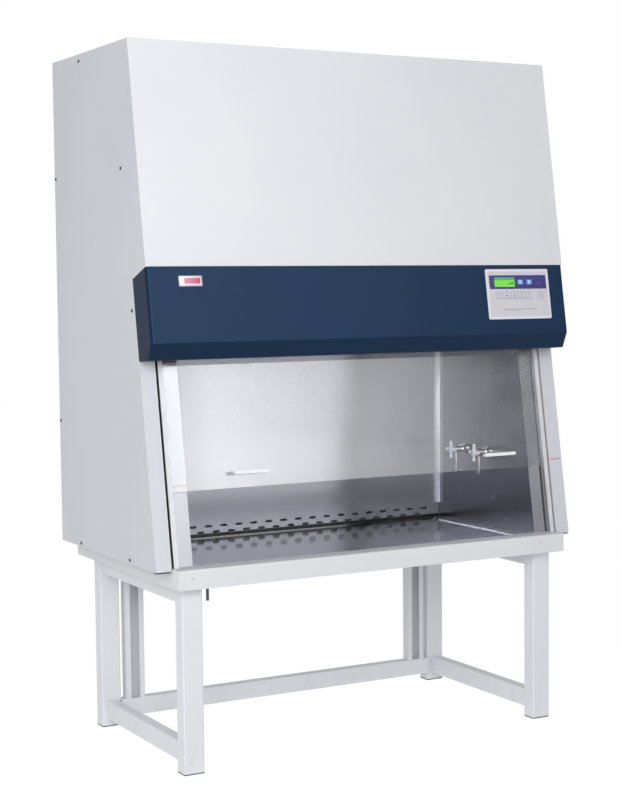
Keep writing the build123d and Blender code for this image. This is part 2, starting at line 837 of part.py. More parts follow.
glass_half = chamber_half + slot_reach - 2 * glass_play
glass_low = up_slope(base_top + sash_opening, glass_depth)
glass_high = glass_low + glass_length
with BuildPart() as sash_glass:
    with BuildSketch(sash_plane.offset(-glass_depth)):
        with Locations((0, (glass_low + glass_high) / 2)):
            Rectangle(2 * glass_half, glass_length)
    extrude(amount=-glass_thickness)
    fillet(sash_glass.edges().filter_by(Axis.X).sort_by(Axis.Z)[0:2], glass_edge_radius)
write(sash_glass.part, "sash_glass")

rail_half = chamber_half - top_rail_end_gap
rail_low = glass_high - top_rail_height / 2
with BuildPart() as sash_top_rail:
    with BuildSketch(sash_plane.offset(-glass_depth + top_rail_wall)):
        with Locations((0, rail_low + top_rail_height / 2)):
            Rectangle(2 * rail_half, top_rail_height)
    extrude(amount=-glass_thickness - 2 * top_rail_wall)
    with BuildSketch(sash_plane.offset(-glass_depth)):
        with Locations((0, (glass_high + rail_low + top_rail_height) / 2)):
            Rectangle(2 * glass_half, rail_low + top_rail_height - glass_high)
    extrude(amount=-glass_thickness)
    with BuildSketch(sash_plane.offset(-glass_depth)):
        with Locations((0, (rail_low + glass_high) / 2)):
            Rectangle(2 * glass_half, glass_high - rail_low)
    extrude(amount=-glass_thickness, mode=Mode.SUBTRACT)
write(sash_top_rail.part, "sash_top_rail")

handle_row = up_slope(base_top + sash_opening + handle_rise, glass_depth)
handle_xs = (
    handle_inset + handle_length / 2 - half_width,
    half_width - right_handle_inset - handle_length / 2,
)
with BuildPart() as sash_handles:
    for handle_x in handle_xs:
        with BuildSketch(sash_plane.offset(-glass_depth)):
            with Locations((handle_x, handle_row)):
                with GridLocations(handle_length - 2 * handle_post_margin, handle_height, 2, 1):
                    Circle(handle_post_radius)
        extrude(amount=handle_reach - handle_thickness)
        with BuildSketch(sash_plane.offset(-glass_depth + handle_reach - handle_thickness)):
            with Locations((handle_x, handle_row)):
                RectangleRounded(handle_length, handle_height, handle_height / 2 - glass_edge_radius)
        extrude(amount=handle_thickness)
    grip_edges = sash_handles.faces().filter_by(sash_plane).group_by(Axis.Y)[0].edges()
    fillet(grip_edges, glass_edge_radius)
write(sash_handles.part, "sash_handles")

# --- Counterbalance: on each side a cable runs up from the rail, over a pulley and down to a weight
cable_depth = glass_depth + glass_thickness / 2
pulley_v = up_slope(pulley_height, cable_depth + pulley_radius)
pulley_y = slope_y(pulley_height, cable_depth + pulley_radius)
weight_y = pulley_y + pulley_radius
weight_top = pulley_height - weight_drop
rail_top = rail_low + top_rail_height
cable_plane = sash_plane.offset(-cable_depth)
cable_start = cable_plane.from_local_coords((0, rail_top, 0))
cable_tangent = cable_plane.from_local_coords((0, pulley_v, 0))


def cable(side):
    """One cable: up the slope, round the pulley and straight down to the weight."""
    side_plane = Plane.YZ.offset(side * cable_side)
    with BuildPart() as rope:
        with BuildLine(side_plane):
            up = Line((cable_start.Y, cable_start.Z), (cable_tangent.Y, cable_tangent.Z))
            ThreePointArc(
                (cable_tangent.Y, cable_tangent.Z),
                (
                    pulley_y - pulley_radius * sin(slope / 2),
                    pulley_height + pulley_radius * cos(slope / 2),
                ),
                (weight_y, pulley_height),
            )
            Line((weight_y, pulley_height), (weight_y, weight_top))
        with BuildSketch(Plane(origin=up @ 0, z_dir=up % 0)):
            Circle(cable_radius)
        sweep()
    return rope.part


sash_cables = Compound(children=[cable(-1), cable(1)])
write(sash_cables, "sash_cables")


def pulley(side):
    """A grooved pulley with a running bore."""
    with BuildPart() as wheel:
        with BuildSketch(Plane.YZ.offset(side * cable_side - pulley_width / 2)):
            with Locations((pulley_y, pulley_height)):
                Circle(pulley_rim)
                Circle(axle_radius + running_fit, mode=Mode.SUBTRACT)
        extrude(amount=pulley_width)
        groove_plane = Plane(
            origin=(side * cable_side, pulley_y, pulley_height), x_dir=(0, 1, 0), z_dir=(0, 0, 1)
        )
        with BuildSketch(groove_plane):
            with BuildLine():
                Polyline(
                    (pulley_radius - cable_radius - screw_clearance, -cable_radius - screw_clearance),
                    (pulley_rim + screw_clearance, -pulley_width / 2 + screw_clearance),
                    (pulley_rim + screw_clearance, pulley_width / 2 - screw_clearance),
                    (pulley_radius - cable_radius - screw_clearance, cable_radius + screw_clearance),
                    close=True,
                )
            make_face()
        revolve(axis=Axis((side * cable_side, pulley_y, pulley_height), (1, 0, 0)), mode=Mode.SUBTRACT)
    return wheel.part


for label, side in sides("pulley"):
    write(pulley(side), label)

axle_reach = cable_side + pulley_width / 2 + screw_clearance
with BuildPart() as pulley_axles:
    for side in (-1, 1):
        with BuildSketch(Plane.YZ.offset(side * (chamber_half + steel_sheet))):
            with Locations((pulley_y, pulley_height)):
                Circle(axle_radius)
        extrude(amount=side * (axle_reach - chamber_half - steel_sheet))
        with BuildSketch(Plane.YZ.offset(side * axle_reach)):
            with Locations((pulley_y, pulley_height)):
                Circle(axle_head_radius)
        extrude(amount=side * axle_head)
write(pulley_axles.part, "pulley_axles")


def counterweight(side):
    """A steel plate hung from its cable."""
    with BuildPart() as weight:
        with BuildSketch(Plane.XY.offset(weight_top)):
            with Locations((side * cable_side, weight_y)):
                Rectangle(weight_thickness, weight_width)
        extrude(amount=-weight_height)
        chamfer(weight.edges().filter_by(Axis.X), case_corner_radius)
    return weight.part


for label, side in sides("counterweight"):
    write(counterweight(side), label)

guide_low = weight_top - weight_height - sash_travel_up - guide_margin
guide_high = pulley_height - pulley_rim - guide_margin
guide_inside = cable_side + weight_thickness / 2 + weight_play
guide_outside = chamber_half + steel_sheet
guide_half = weight_width / 2 + weight_play
with BuildPart() as counterweight_guides:
    for side in (-1, 1):
        guide_depth = guide_inside + guide_sheet - guide_outside
        with BuildSketch(Plane.XY.offset(guide_low)):
            with Locations((side * (guide_outside + guide_depth / 2), weight_y)):
                Rectangle(guide_depth, 2 * (guide_half + guide_sheet))
                Rectangle(guide_depth - 2 * guide_sheet, 2 * guide_half, mode=Mode.SUBTRACT)
            with Locations((side * (guide_inside + guide_sheet / 2), weight_y)):
                Rectangle(2 * guide_sheet, 2 * (guide_half - guide_lip), mode=Mode.SUBTRACT)
        extrude(amount=guide_high - guide_low)
write(counterweight_guides.part, "counterweight_guides")

# --- Diffuser and supply filter, carried by a channel along each side wall
rail_y_low = slope_y(diffuser_height + filter_rail_height, wall_depth + diffuser_front_gap)
rail_y_high = chamber_rear
diffuser_middle = (rail_y_low + rail_y_high) / 2
diffuser_depth = rail_y_high - rail_y_low
rail_top_z = diffuser_height + filter_rail_height
with BuildPart() as filter_rails:
    for side in (-1, 1):
        with BuildSketch(Plane.XY.offset(diffuser_height)):
            with Locations((side * (chamber_half - filter_rail_width / 2), diffuser_middle)):
                Rectangle(filter_rail_width, diffuser_depth)
        extrude(amount=filter_rail_height)
        with BuildSketch(Plane.XY.offset(diffuser_height + steel_sheet)):
            with Locations((side * (chamber_half - filter_rail_width / 2 - steel_sheet), diffuser_middle)):
                Rectangle(filter_rail_width, diffuser_depth)
        extrude(amount=filter_rail_height - 2 * steel_sheet, mode=Mode.SUBTRACT)
write(filter_rails.part, "filter_rails")

with BuildPart() as downflow_diffuser:
    with BuildSketch(Plane.XY.offset(diffuser_height)):
        with Locations((0, diffuser_middle)):
            Rectangle(2 * (chamber_half - case_seam), diffuser_depth)
            with GridLocations(
                2 * (chamber_half - filter_rail_width) / diffuser_columns,
                (diffuser_depth - filter_rail_width) / diffuser_rows,
                diffuser_columns, diffuser_rows,
            ):
                Rectangle(diffuser_slot_length, diffuser_slot_width, mode=Mode.SUBTRACT)
    extrude(amount=-steel_sheet)
write(downflow_diffuser.part, "downflow_diffuser")


def filter_frame(low, centre, size, height):
    """The open rectangular frame of a filter, standing on its gasket."""
    with BuildPart() as frame:
        with BuildSketch(Plane.XY.offset(low)):
            with Locations(centre):
                Rectangle(*size)
                Rectangle(size[0] - 2 * filter_wall, size[1] - 2 * filter_wall, mode=Mode.SUBTRACT)
        extrude(amount=height)
    return frame.part


def filter_pack(low, centre, size, height):
    """A pleated sheet that fills its frame, with the folds along y."""
    width = size[0] - 2 * filter_wall
    depth = size[1] - 2 * filter_wall
    folds = int(width / pleat_pitch)
    step = width / folds
    top = [(centre[0] - width / 2 + fold * step / 2, low + (height if fold % 2 else pleat_sheet))
           for fold in range(2 * folds + 1)]
    with BuildPart() as pack:
        with BuildSketch(Plane.XZ.offset(-centre[1] - depth / 2)):
            with BuildLine():
                Polyline(*top, *[(x, z - pleat_sheet) for x, z in reversed(top)], close=True)
            make_face()
        extrude(amount=depth)
    return pack.part


def gasket(low, centre, size):
    """A flat gasket under a filter frame."""
    with BuildPart() as ring:
        with BuildSketch(Plane.XY.offset(low)):
            with Locations(centre):
                Rectangle(*size)
                Rectangle(size[0] - 2 * gasket_width, size[1] - 2 * gasket_width, mode=Mode.SUBTRACT)
        extrude(amount=gasket_thickness)
    return ring.part


supply_size = (2 * (chamber_half - case_sheet), diffuser_depth - filter_setback)
supply_centre = (0, rail_y_high - supply_size[1] / 2 - case_seam)
supply_low = rail_top_z + gasket_thickness
duct_y = case_front + duct_setback
exhaust_size = (duct_width - 2 * case_sheet, duct_depth - 2 * case_sheet)
exhaust_centre = (duct_centre, duct_y)
exhaust_low = panel_top - steel_sheet - exhaust_filter_height
write(filter_frame(supply_low, supply_centre, supply_size, filter_thickness), "supply_filter_frame")
write(filter_frame(exhaust_low, exhaust_centre, exhaust_size, exhaust_filter_height), "exhaust_filter_frame")
filter_packs = Compound(
    children=[
        filter_pack(supply_low, supply_centre, supply_size, filter_thickness),
        filter_pack(exhaust_low, exhaust_centre, exhaust_size, exhaust_filter_height),
    ]
)
write(filter_packs, "filter_packs")
filter_gaskets = Compound(
    children=[
        gasket(rail_top_z, supply_centre, supply_size),
        gasket(exhaust_low - gasket_thickness, exhaust_centre, exhaust_size),
    ]
)
write(filter_gaskets, "filter_gaskets")

with BuildPart() as exhaust_guard:
    with BuildSketch(Plane.XY.offset(panel_top)):
        with Locations(exhaust_centre):
            Rectangle(duct_width + 2 * guard_margin, duct_depth + 2 * guard_margin)
            with GridLocations(
                duct_width / guard_columns, duct_depth / guard_rows, guard_columns, guard_rows
            ):
                Rectangle(guard_slot_length, guard_slot_width, mode=Mode.SUBTRACT)
    extrude(amount=-steel_sheet)
write(exhaust_guard.part, "exhaust_guard")

# --- Plenum: front wall behind the sash, fan deck, and the duct that carries the exhaust filter
with BuildPart() as plenum_walls:
    with BuildSketch(Plane.YZ.offset(-chamber_half)):
        with BuildLine():
            Polyline(
                (slope_y(rail_top_z, wall_depth), rail_top_z),
                (slope_y(plenum_top, wall_depth), plenum_top),
                (slope_y(plenum_top, wall_depth + steel_sheet), plenum_top),
                (slope_y(rail_top_z, wall_depth + steel_sheet), rail_top_z),
                close=True,
            )
        make_face()
    extrude(amount=2 * chamber_half)
    with BuildSketch(Plane.XZ.offset(-chamber_rear)):
        with Locations((0, (diffuser_height - plenum_lap + deck_height) / 2)):
            Rectangle(2 * (chamber_half + steel_sheet), deck_height - diffuser_height + plenum_lap)
    extrude(amount=-steel_sheet)
write(plenum_walls.part, "plenum_walls")

deck_low = slope_y(deck_height, wall_depth + steel_sheet)
deck_high = chamber_rear
deck_middle = (deck_low + deck_high) / 2
fan_y = case_front + fan_setback
volute_base = wheel_radius + scroll_gap


def volute_point(angle, wall=0.0):
    """A point of the growing spiral round the fan wheel, in (y, z)."""
    radius = volute_base + scroll_growth * (angle - scroll_start) / scroll_sweep - wall
    return (fan_y + radius * cos(radians(angle)), fan_height + radius * sin(radians(angle)))


def volute(wall=0.0):
    """The closed outline of the scroll and its outlet, set in by a wall."""
    angles = [scroll_start + scroll_sweep * step / scroll_steps for step in range(scroll_steps + 1)]
    spiral = [volute_point(angle, wall) for angle in angles]
    tongue_y = volute_point(scroll_start)[0] - wall
    with BuildLine() as outline:
        Spline(*spiral)
        Polyline(
            spiral[-1],
            (spiral[-1][0], deck_height),
            (tongue_y, deck_height),
            (tongue_y, spiral[0][1]),
            *([spiral[0]] if wall else []),
        )
    return outline.line


outlet_front = volute_point(scroll_start + scroll_sweep)[0]
outlet_rear = volute_point(scroll_start)[0]
scroll_half = wheel_width / 2 + scroll_side_gap
with BuildPart() as blower_scroll:
    with BuildSketch(Plane.YZ.offset(fan_centre - scroll_half - scroll_sheet)):
        add(volute())
        make_face()
    extrude(amount=2 * (scroll_half + scroll_sheet))
    with BuildSketch(Plane.YZ.offset(fan_centre - scroll_half)):
        add(volute(scroll_sheet))
        make_face()
    extrude(amount=2 * scroll_half, mode=Mode.SUBTRACT)
    with BuildSketch(Plane.YZ.offset(fan_centre - scroll_half - scroll_sheet)):
        with Locations((fan_y, fan_height)):
            Circle(wheel_bore)
    extrude(amount=scroll_sheet, mode=Mode.SUBTRACT)
    with BuildSketch(Plane.YZ.offset(fan_centre + scroll_half)):
        with Locations((fan_y, fan_height)):
            Circle(hub_radius)
    extrude(amount=scroll_sheet, mode=Mode.SUBTRACT)
write(blower_scroll.part, "blower_scroll")

with BuildPart() as blower_deck:
    with BuildSketch(Plane.XY.offset(deck_height)):
        with Locations((0, deck_middle)):
            Rectangle(2 * chamber_half, deck_high - deck_low)
        with Locations((fan_centre, (outlet_front + outlet_rear) / 2)):
            Rectangle(2 * scroll_half, outlet_rear - outlet_front - 2 * scroll_sheet, mode=Mode.SUBTRACT)
        with Locations(exhaust_centre):
            Rectangle(duct_width - 2 * duct_flange, duct_depth - 2 * duct_flange, mode=Mode.SUBTRACT)
    extrude(amount=-steel_sheet)
write(blower_deck.part, "blower_deck")

motor_face = fan_centre + scroll_half + scroll_sheet
blade_span = wheel_width - 2 * wheel_plate
blade_root = wheel_bore + blade_thickness
blade_rim = wheel_radius - blade_thickness
with BuildPart() as blower_wheel:
    with BuildSketch(Plane.YZ.offset(fan_centre - wheel_width / 2)):
        with Locations((fan_y, fan_height)):
            Circle(wheel_radius)
            Circle(wheel_bore, mode=Mode.SUBTRACT)
    extrude(amount=wheel_plate)
    with BuildSketch(Plane.YZ.offset(fan_centre + wheel_width / 2 - wheel_plate)):
        with Locations((fan_y, fan_height)):
            Circle(wheel_radius)
    extrude(amount=wheel_plate)
    with BuildSketch(Plane.YZ.offset(fan_centre - wheel_width / 2 + wheel_plate)):
        with BuildSketch(Plane.XY, mode=Mode.PRIVATE) as blade:
            with BuildLine():
                front = ThreePointArc(
                    (blade_root, 0),
                    ((blade_root + blade_rim) / 2, blade_sweep / 4),
                    (blade_rim, blade_sweep),
                )
                rear = ThreePointArc(
                    (blade_root, blade_thickness),
                    ((blade_root + blade_rim) / 2, blade_sweep / 4 + blade_thickness),
                    (blade_rim, blade_sweep + blade_thickness),
                )
                Line(front @ 0, rear @ 0)
                Line(front @ 1, rear @ 1)
            make_face()
        with Locations((fan_y, fan_height)):
            with PolarLocations(0, wheel_blades):
                add(blade.sketch)
    extrude(amount=blade_span)
    with BuildSketch(Plane.YZ.offset(fan_centre)):
        with Locations((fan_y, fan_height)):
            Circle(hub_radius - screw_clearance)
    extrude(amount=wheel_width / 2)
    with BuildSketch(Plane.YZ.offset(fan_centre)):
        with Locations((fan_y, fan_height)):
            Circle(shaft_radius)
    extrude(amount=motor_face + shaft_engagement - fan_centre)
write(blower_wheel.part, "blower_wheel")

with BuildPart() as blower_motor:
    with BuildSketch(Plane.YZ.offset(motor_face)):
        with Locations((fan_y, fan_height)):
            Circle(motor_radius)
    extrude(amount=motor_length)
    fillet(blower_motor.edges().sort_by(Axis.X)[-1], motor_corner_radius)
    with BuildSketch(Plane.YZ.offset(motor_face)):
        with Locations((fan_y, fan_height)):
            Circle(shaft_radius + running_fit)
    extrude(amount=shaft_engagement + motor_corner_radius, mode=Mode.SUBTRACT)
write(blower_motor.part, "blower_motor")

duct_top = exhaust_low - gasket_thickness
with BuildPart() as exhaust_duct:
    with BuildSketch(Plane.XY.offset(deck_height)):
        with Locations(exhaust_centre):
            Rectangle(duct_width, duct_depth)
    extrude(amount=duct_top - deck_height)
    offset(amount=-steel_sheet, openings=exhaust_duct.faces().sort_by(Axis.Z)[0])
    with BuildSketch(Plane.XY.offset(duct_top)):
        with Locations(exhaust_centre):
            Rectangle(duct_width - 2 * duct_flange, duct_depth - 2 * duct_flange)
    extrude(amount=-steel_sheet, mode=Mode.SUBTRACT)
write(exhaust_duct.part, "exhaust_duct")

# --- Lamps under the diffuser: a light tube at the front and an ultraviolet tube at the rear
lamp_ceiling = diffuser_height - steel_sheet
lamp_z = lamp_ceiling - lamp_drop
lamp_y = slope_y(lamp_z) + lamp_front
uv_lamp_y = chamber_rear - uv_lamp_setback
lamps = ((lamp_y, lamp_radius, lamp_length), (uv_lamp_y, uv_lamp_radius, uv_lamp_length))
with BuildPart() as lamp_tubes:
    for tube_y, tube_radius, tube_length in lamps:
        with BuildSketch(Plane.YZ.offset(-tube_length / 2)):
            with Locations((tube_y, lamp_z)):
                Circle(tube_radius)
        extrude(amount=tube_length)
write(lamp_tubes.part, "lamp_tubes")

with BuildPart() as lamp_holders:
    for tube_y, tube_radius, tube_length in lamps:
        foot = lamp_z - tube_radius - holder_margin / 2
        for side in (-1, 1):
            with BuildSketch(Plane.YZ.offset(side * tube_length / 2)):
                with Locations((tube_y, (lamp_ceiling + foot) / 2)):
                    Rectangle(2 * tube_radius + holder_margin, lamp_ceiling - foot)
            extrude(amount=side * holder_width)
    fillet(lamp_holders.edges().filter_by(Axis.X).group_by(Axis.Z)[0], holder_margin / 2)
write(lamp_holders.part, "lamp_holders")

# --- Service cocks on the right wall: rosette, body, barbed nozzle and a turning cross handle
cock_end = chamber_half - rosette_thickness - cock_body_length
nozzle_x = chamber_half - rosette_thickness - nozzle_reach
with BuildPart() as service_cocks:
    for cock_y, cock_z in cock_places:
        with BuildSketch(Plane.YZ.offset(chamber_half)):
            with Locations((cock_y, cock_z)):
                Circle(rosette_radius)
        extrude(amount=-rosette_thickness)
        with BuildSketch(Plane.YZ.offset(chamber_half)):
            with Locations((cock_y, cock_z)):
                Circle(cock_body_radius)
        extrude(amount=cock_end - chamber_half)
        with BuildSketch(Plane.YZ.offset(cock_end - cross_hub_length / 2)):
            with Locations((cock_y, cock_z)):
                Circle(spindle_radius - running_fit)
        extrude(amount=chamber_half + steel_sheet - cock_end + cross_hub_length / 2)
        with BuildSketch(Plane.XZ.offset(-cock_y)):
            with BuildLine():
                tip = cock_z - nozzle_length
                Polyline(
                    (nozzle_x, cock_z), (nozzle_x, tip), (nozzle_x + nozzle_radius, tip),
                    *[
                        point
                        for barb in range(barb_count)
                        for point in (
                            (nozzle_x + barb_radius, tip + (barb + 1) * barb_pitch),
                            (nozzle_x + nozzle_radius, tip + (barb + 1) * barb_pitch),
                        )
                    ],
                    (nozzle_x + nozzle_radius, cock_z), close=True,
                )
            make_face()
        revolve(axis=Axis((nozzle_x, cock_y, cock_z), (0, 0, 1)))
        with BuildSketch(Plane.XY.offset(tip)):
            with Locations((nozzle_x, cock_y)):
                Circle(nozzle_bore)
        extrude(amount=nozzle_length - cock_body_radius, mode=Mode.SUBTRACT)
write(service_cocks.part, "service_cocks")

for place, label in zip(cock_places, ("front_cock_handle", "rear_cock_handle")):
    cock_y, cock_z = place
    hub_middle = cock_end - cross_hub_length / 2
    with BuildPart() as cross_handle:
        with BuildSketch(Plane.YZ.offset(cock_end)):
            with Locations(place):
                Circle(cross_hub_radius)
        extrude(amount=-cross_hub_length)
        fillet(cross_handle.edges().sort_by(Axis.X)[0], glass_edge_radius)
        with BuildSketch(Plane.XY.offset(cock_z - cross_span / 2)):
            with Locations((hub_middle, cock_y)):
                Circle(cross_arm_radius)
        extrude(amount=cross_span)
        with BuildSketch(Plane.XZ.offset(-cock_y - cross_span / 2)):
            with Locations((hub_middle, cock_z)):
                Circle(cross_arm_radius)
        extrude(amount=cross_span)
        with BuildSketch(Plane.YZ.offset(cock_end)):
            with Locations(place):
                Circle(spindle_radius)
        extrude(amount=-cross_hub_length / 2, mode=Mode.SUBTRACT)
    write(cross_handle.part, label)

# --- Power inlet in the rear panel, held by a flange behind the sheet
with BuildPart() as power_inlet:
    with BuildSketch(Plane.XZ.offset(-rear_y)):
        with Locations((inlet_offset, inlet_rise)):
            Rectangle(inlet_width, inlet_height)
    extrude(amount=inlet_depth)
    with BuildSketch(Plane.XZ.offset(-rear_y + case_sheet)):
        with Locations((inlet_offset, inlet_rise)):
            Rectangle(inlet_width + 2 * inlet_flange, inlet_height + 2 * inlet_flange)
    extrude(amount=inlet_wall)
    with BuildSketch(Plane.XZ.offset(-rear_y)):
        with Locations((inlet_offset, inlet_rise)):
            Rectangle(inlet_width - 2 * inlet_wall, inlet_height - 2 * inlet_wall)
    extrude(amount=inlet_depth - inlet_wall, mode=Mode.SUBTRACT)
    with BuildSketch(Plane.XZ.offset(-rear_y + inlet_wall)):
        with Locations((inlet_offset, inlet_rise)):
            with GridLocations(inlet_width / 4, 1, 3, 1):
                Circle(pin_radius / 2)
    extrude(amount=inlet_depth - inlet_wall)
write(power_inlet.part, "power_inlet")
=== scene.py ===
# %% [markdown]
# # A biosafety cabinet
# The cabinet arrives from CAD as sixty exact nodes in metres, +Z up, front towards -Y. They stay where
# they are. This notebook gives every node a procedural finish and adds what sheet metal work leaves out:
# printed marks, screws, lamp ends, cables and valve trim. Loading comes first, because every later cell
# asks the frame where its carrier is.

# %% Load the frame
from math import cos, pi, radians, sin

import bmesh
import bpy
from mathutils import Matrix, Vector


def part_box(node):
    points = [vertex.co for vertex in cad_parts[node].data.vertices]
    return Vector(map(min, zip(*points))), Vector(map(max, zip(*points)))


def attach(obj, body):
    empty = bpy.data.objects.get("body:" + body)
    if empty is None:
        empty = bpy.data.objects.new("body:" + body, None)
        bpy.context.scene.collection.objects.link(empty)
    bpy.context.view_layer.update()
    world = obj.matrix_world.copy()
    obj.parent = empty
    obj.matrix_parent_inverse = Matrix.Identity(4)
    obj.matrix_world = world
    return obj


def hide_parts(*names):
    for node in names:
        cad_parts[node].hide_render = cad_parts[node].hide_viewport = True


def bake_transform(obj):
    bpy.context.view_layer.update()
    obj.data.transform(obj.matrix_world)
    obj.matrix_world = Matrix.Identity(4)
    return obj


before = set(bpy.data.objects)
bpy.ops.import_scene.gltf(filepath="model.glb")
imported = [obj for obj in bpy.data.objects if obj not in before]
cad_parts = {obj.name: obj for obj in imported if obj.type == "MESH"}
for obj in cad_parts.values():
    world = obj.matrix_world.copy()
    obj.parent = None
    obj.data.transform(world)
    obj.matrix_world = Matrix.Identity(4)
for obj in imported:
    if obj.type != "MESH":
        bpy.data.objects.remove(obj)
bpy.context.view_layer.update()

# %% [markdown]
# ## The two sloping planes
# The front of the case leans back 9.15 degrees. The glass slides in that plane, and the blue housing has
# a face parallel to it, further forward. Nearly every added piece lies in one of the two, so each gets a
# matrix: local X along the cabinet, local Y up the slope, local Z out towards the user.

# %% Planes of the glass and of the control housing
LEAN = radians(9.15)
CASE_FRONT = -0.331
CASE_BOTTOM = 0.558
NOSE = 0.094
UP_SLOPE = Vector((0.0, sin(LEAN), cos(LEAN)))
OUTWARD = Vector((0.0, -cos(LEAN), sin(LEAN)))
LEFTWARD = Vector((-1.0, 0.0, 0.0))
FRONTWARD = Vector((0.0, -1.0, 0.0))
UPWARD = Vector((0.0, 0.0, 1.0))


def leaning_plane(front):
    """A matrix for the plane whose foot is at this y, at the bottom of the case."""
    across = Vector((1.0, 0.0, 0.0))
    turn = Matrix((across, UP_SLOPE, OUTWARD)).transposed().to_4x4()
    return Matrix.Translation((0.0, front, CASE_BOTTOM)) @ turn


SASH = leaning_plane(CASE_FRONT)
FACE = leaning_plane(CASE_FRONT - NOSE)


def up_face(height):
    """How far up the housing's front face a height lies."""
    return (height - CASE_BOTTOM) / cos(LEAN)


print("sash plane starts at", [round(v, 3) for v in SASH.translation])
print("face plane starts at", [round(v, 3) for v in FACE.translation])

# %% [markdown]
# ## The camera
# The view is from the user's left, a little above the middle of the cabinet, through a short telephoto
# lens. The camera stands still: yaw, pitch and roll build its matrix directly, which avoids the order of
# turns that Euler angles bring. Depth of field stays off, so every edge is sharp.

# %% Camera
EYE = Vector((-2.433, -4.361, 1.310))
YAW, PITCH, ROLL = radians(28.89), radians(4.31), radians(-0.59)
FOCAL_PX, WIDTH_PX, HEIGHT_PX = 1673.2, 622.0, 800.0
CENTRE_PX = (310.7, 412.3)
SENSOR = 36.0

ahead = Vector((sin(YAW) * cos(PITCH), cos(YAW) * cos(PITCH), -sin(PITCH)))
level = Vector((cos(YAW), -sin(YAW), 0.0))
lift = level.cross(ahead)
right = cos(ROLL) * level + sin(ROLL) * lift
top = cos(ROLL) * lift - sin(ROLL) * level
camera = bpy.data.objects.new("camera", bpy.data.cameras.new("camera"))
bpy.context.scene.collection.objects.link(camera)
camera.matrix_world = Matrix.Translation(EYE) @ Matrix((right, top, -ahead)).transposed().to_4x4()
camera.data.sensor_fit = "VERTICAL"
camera.data.sensor_height = SENSOR
camera.data.lens = FOCAL_PX * SENSOR / HEIGHT_PX
camera.data.shift_x = (WIDTH_PX / 2 - CENTRE_PX[0]) / HEIGHT_PX
camera.data.shift_y = (CENTRE_PX[1] - HEIGHT_PX / 2) / HEIGHT_PX
bpy.context.scene.camera = camera
shift = camera.data.shift_x, camera.data.shift_y
print("lens", round(camera.data.lens, 1), "mm, shift", [round(part, 4) for part in shift])

# %% [markdown]
# ## Shader maths in Python
# A finish is mostly arithmetic on noise and position. Wiring Math nodes by hand hides that arithmetic,
# so a class wraps a socket and turns +, -, * and / into Math nodes.

# %% Wires
class Wire:
    """A shader socket that takes part in Python arithmetic."""

    def __init__(self, finish, socket):
        self.finish = finish
        self.socket = socket

    def math(self, operation, first, second=None):
        values = {0: first} if second is None else {0: first, 1: second}
        return self.finish.node("ShaderNodeMath", values, operation=operation)

    def __add__(self, other):
        return self.math("ADD", self, other)

    def __radd__(self, other):
        return self.math("ADD", other, self)

    def __sub__(self, other):
        return self.math("SUBTRACT", self, other)

    def __rsub__(self, other):
        return self.math("SUBTRACT", other, self)

    def __mul__(self, other):
        return self.math("MULTIPLY", self, other)

    def __rmul__(self, other):
        return self.math("MULTIPLY", other, self)

    def __truediv__(self, other):
        return self.math("DIVIDE", self, other)

    def __gt__(self, other):
        return self.math("GREATER_THAN", self, other)

    def __lt__(self, other):
        return self.math("LESS_THAN", self, other)

    def __abs__(self):
        return self.math("ABSOLUTE", self)

    def clamp(self):
        """The value held between 0 and 1."""
        return self.math("MINIMUM", self.math("MAXIMUM", self, 0.0), 1.0)

    def wave(self, step):
        """A triangle wave of the value: 0 at each multiple of step, 1 half way between."""
        return self.math("PINGPONG", self, step / 2) / (step / 2)


print("arithmetic on sockets ready")

# %% [markdown]
# A bench is one node tree with the ways of adding to it. It makes any node from its type, its settings and
# its input values, and has short names for the nodes that nearly every finish uses.

# %% Benches
class Bench:
    """A node tree, and the ways of adding to it."""

    def __init__(self, tree):
        self.tree = tree

    def put(self, socket, value):
        """Links a wire to a socket, or writes a plain value in it."""
        if isinstance(value, Wire):
            self.tree.links.new(value.socket, socket)
        else:
            socket.default_value = value

    def node(self, kind, values=None, output=0, **settings):
        """Any node: its settings first, then its inputs, by index or by name."""
        made = self.tree.nodes.new(kind)
        for name, setting in settings.items():
            setattr(made, name, setting)
        for key, value in (values or {}).items():
            self.put(made.inputs[key], value)
        return Wire(self, made.outputs[output])

    def noise(self, scale, detail=2.0, stretch=(1.0, 1.0, 1.0), roughness=0.5):
        """Noise of a feature size given in waves to the metre, drawn out along some axes."""
        mapped = self.node("ShaderNodeMapping", {"Vector": self.place, "Scale": stretch})
        values = {"Vector": mapped, "Scale": scale, "Detail": detail, "Roughness": roughness}
        return self.node("ShaderNodeTexNoise", values)

    def mix(self, factor, first, second):
        """A colour between two colours."""
        return self.node("ShaderNodeMix", {0: factor, 6: first, 7: second}, output=2, data_type="RGBA")

    def bump(self, height, distance, strength=1.0):
        """A normal from a height, which is in units of the distance."""
        return self.node("ShaderNodeBump", {"Height": height, "Distance": distance, "Strength": strength})

    def outputs(self, wire):
        """All the outputs of the node that a wire comes from, by name."""
        return {socket.name: Wire(self, socket) for socket in wire.socket.node.outputs}


print("node benches ready")

# %% [markdown]
# A finish is a bench that holds one material with its principled shader. Its position wires are in object
# space, and every node stands at the origin, so they are the frame's own metres. Dressing a CAD node puts a
# finish on it and keeps count, so that the last cell can name any node that was left out.

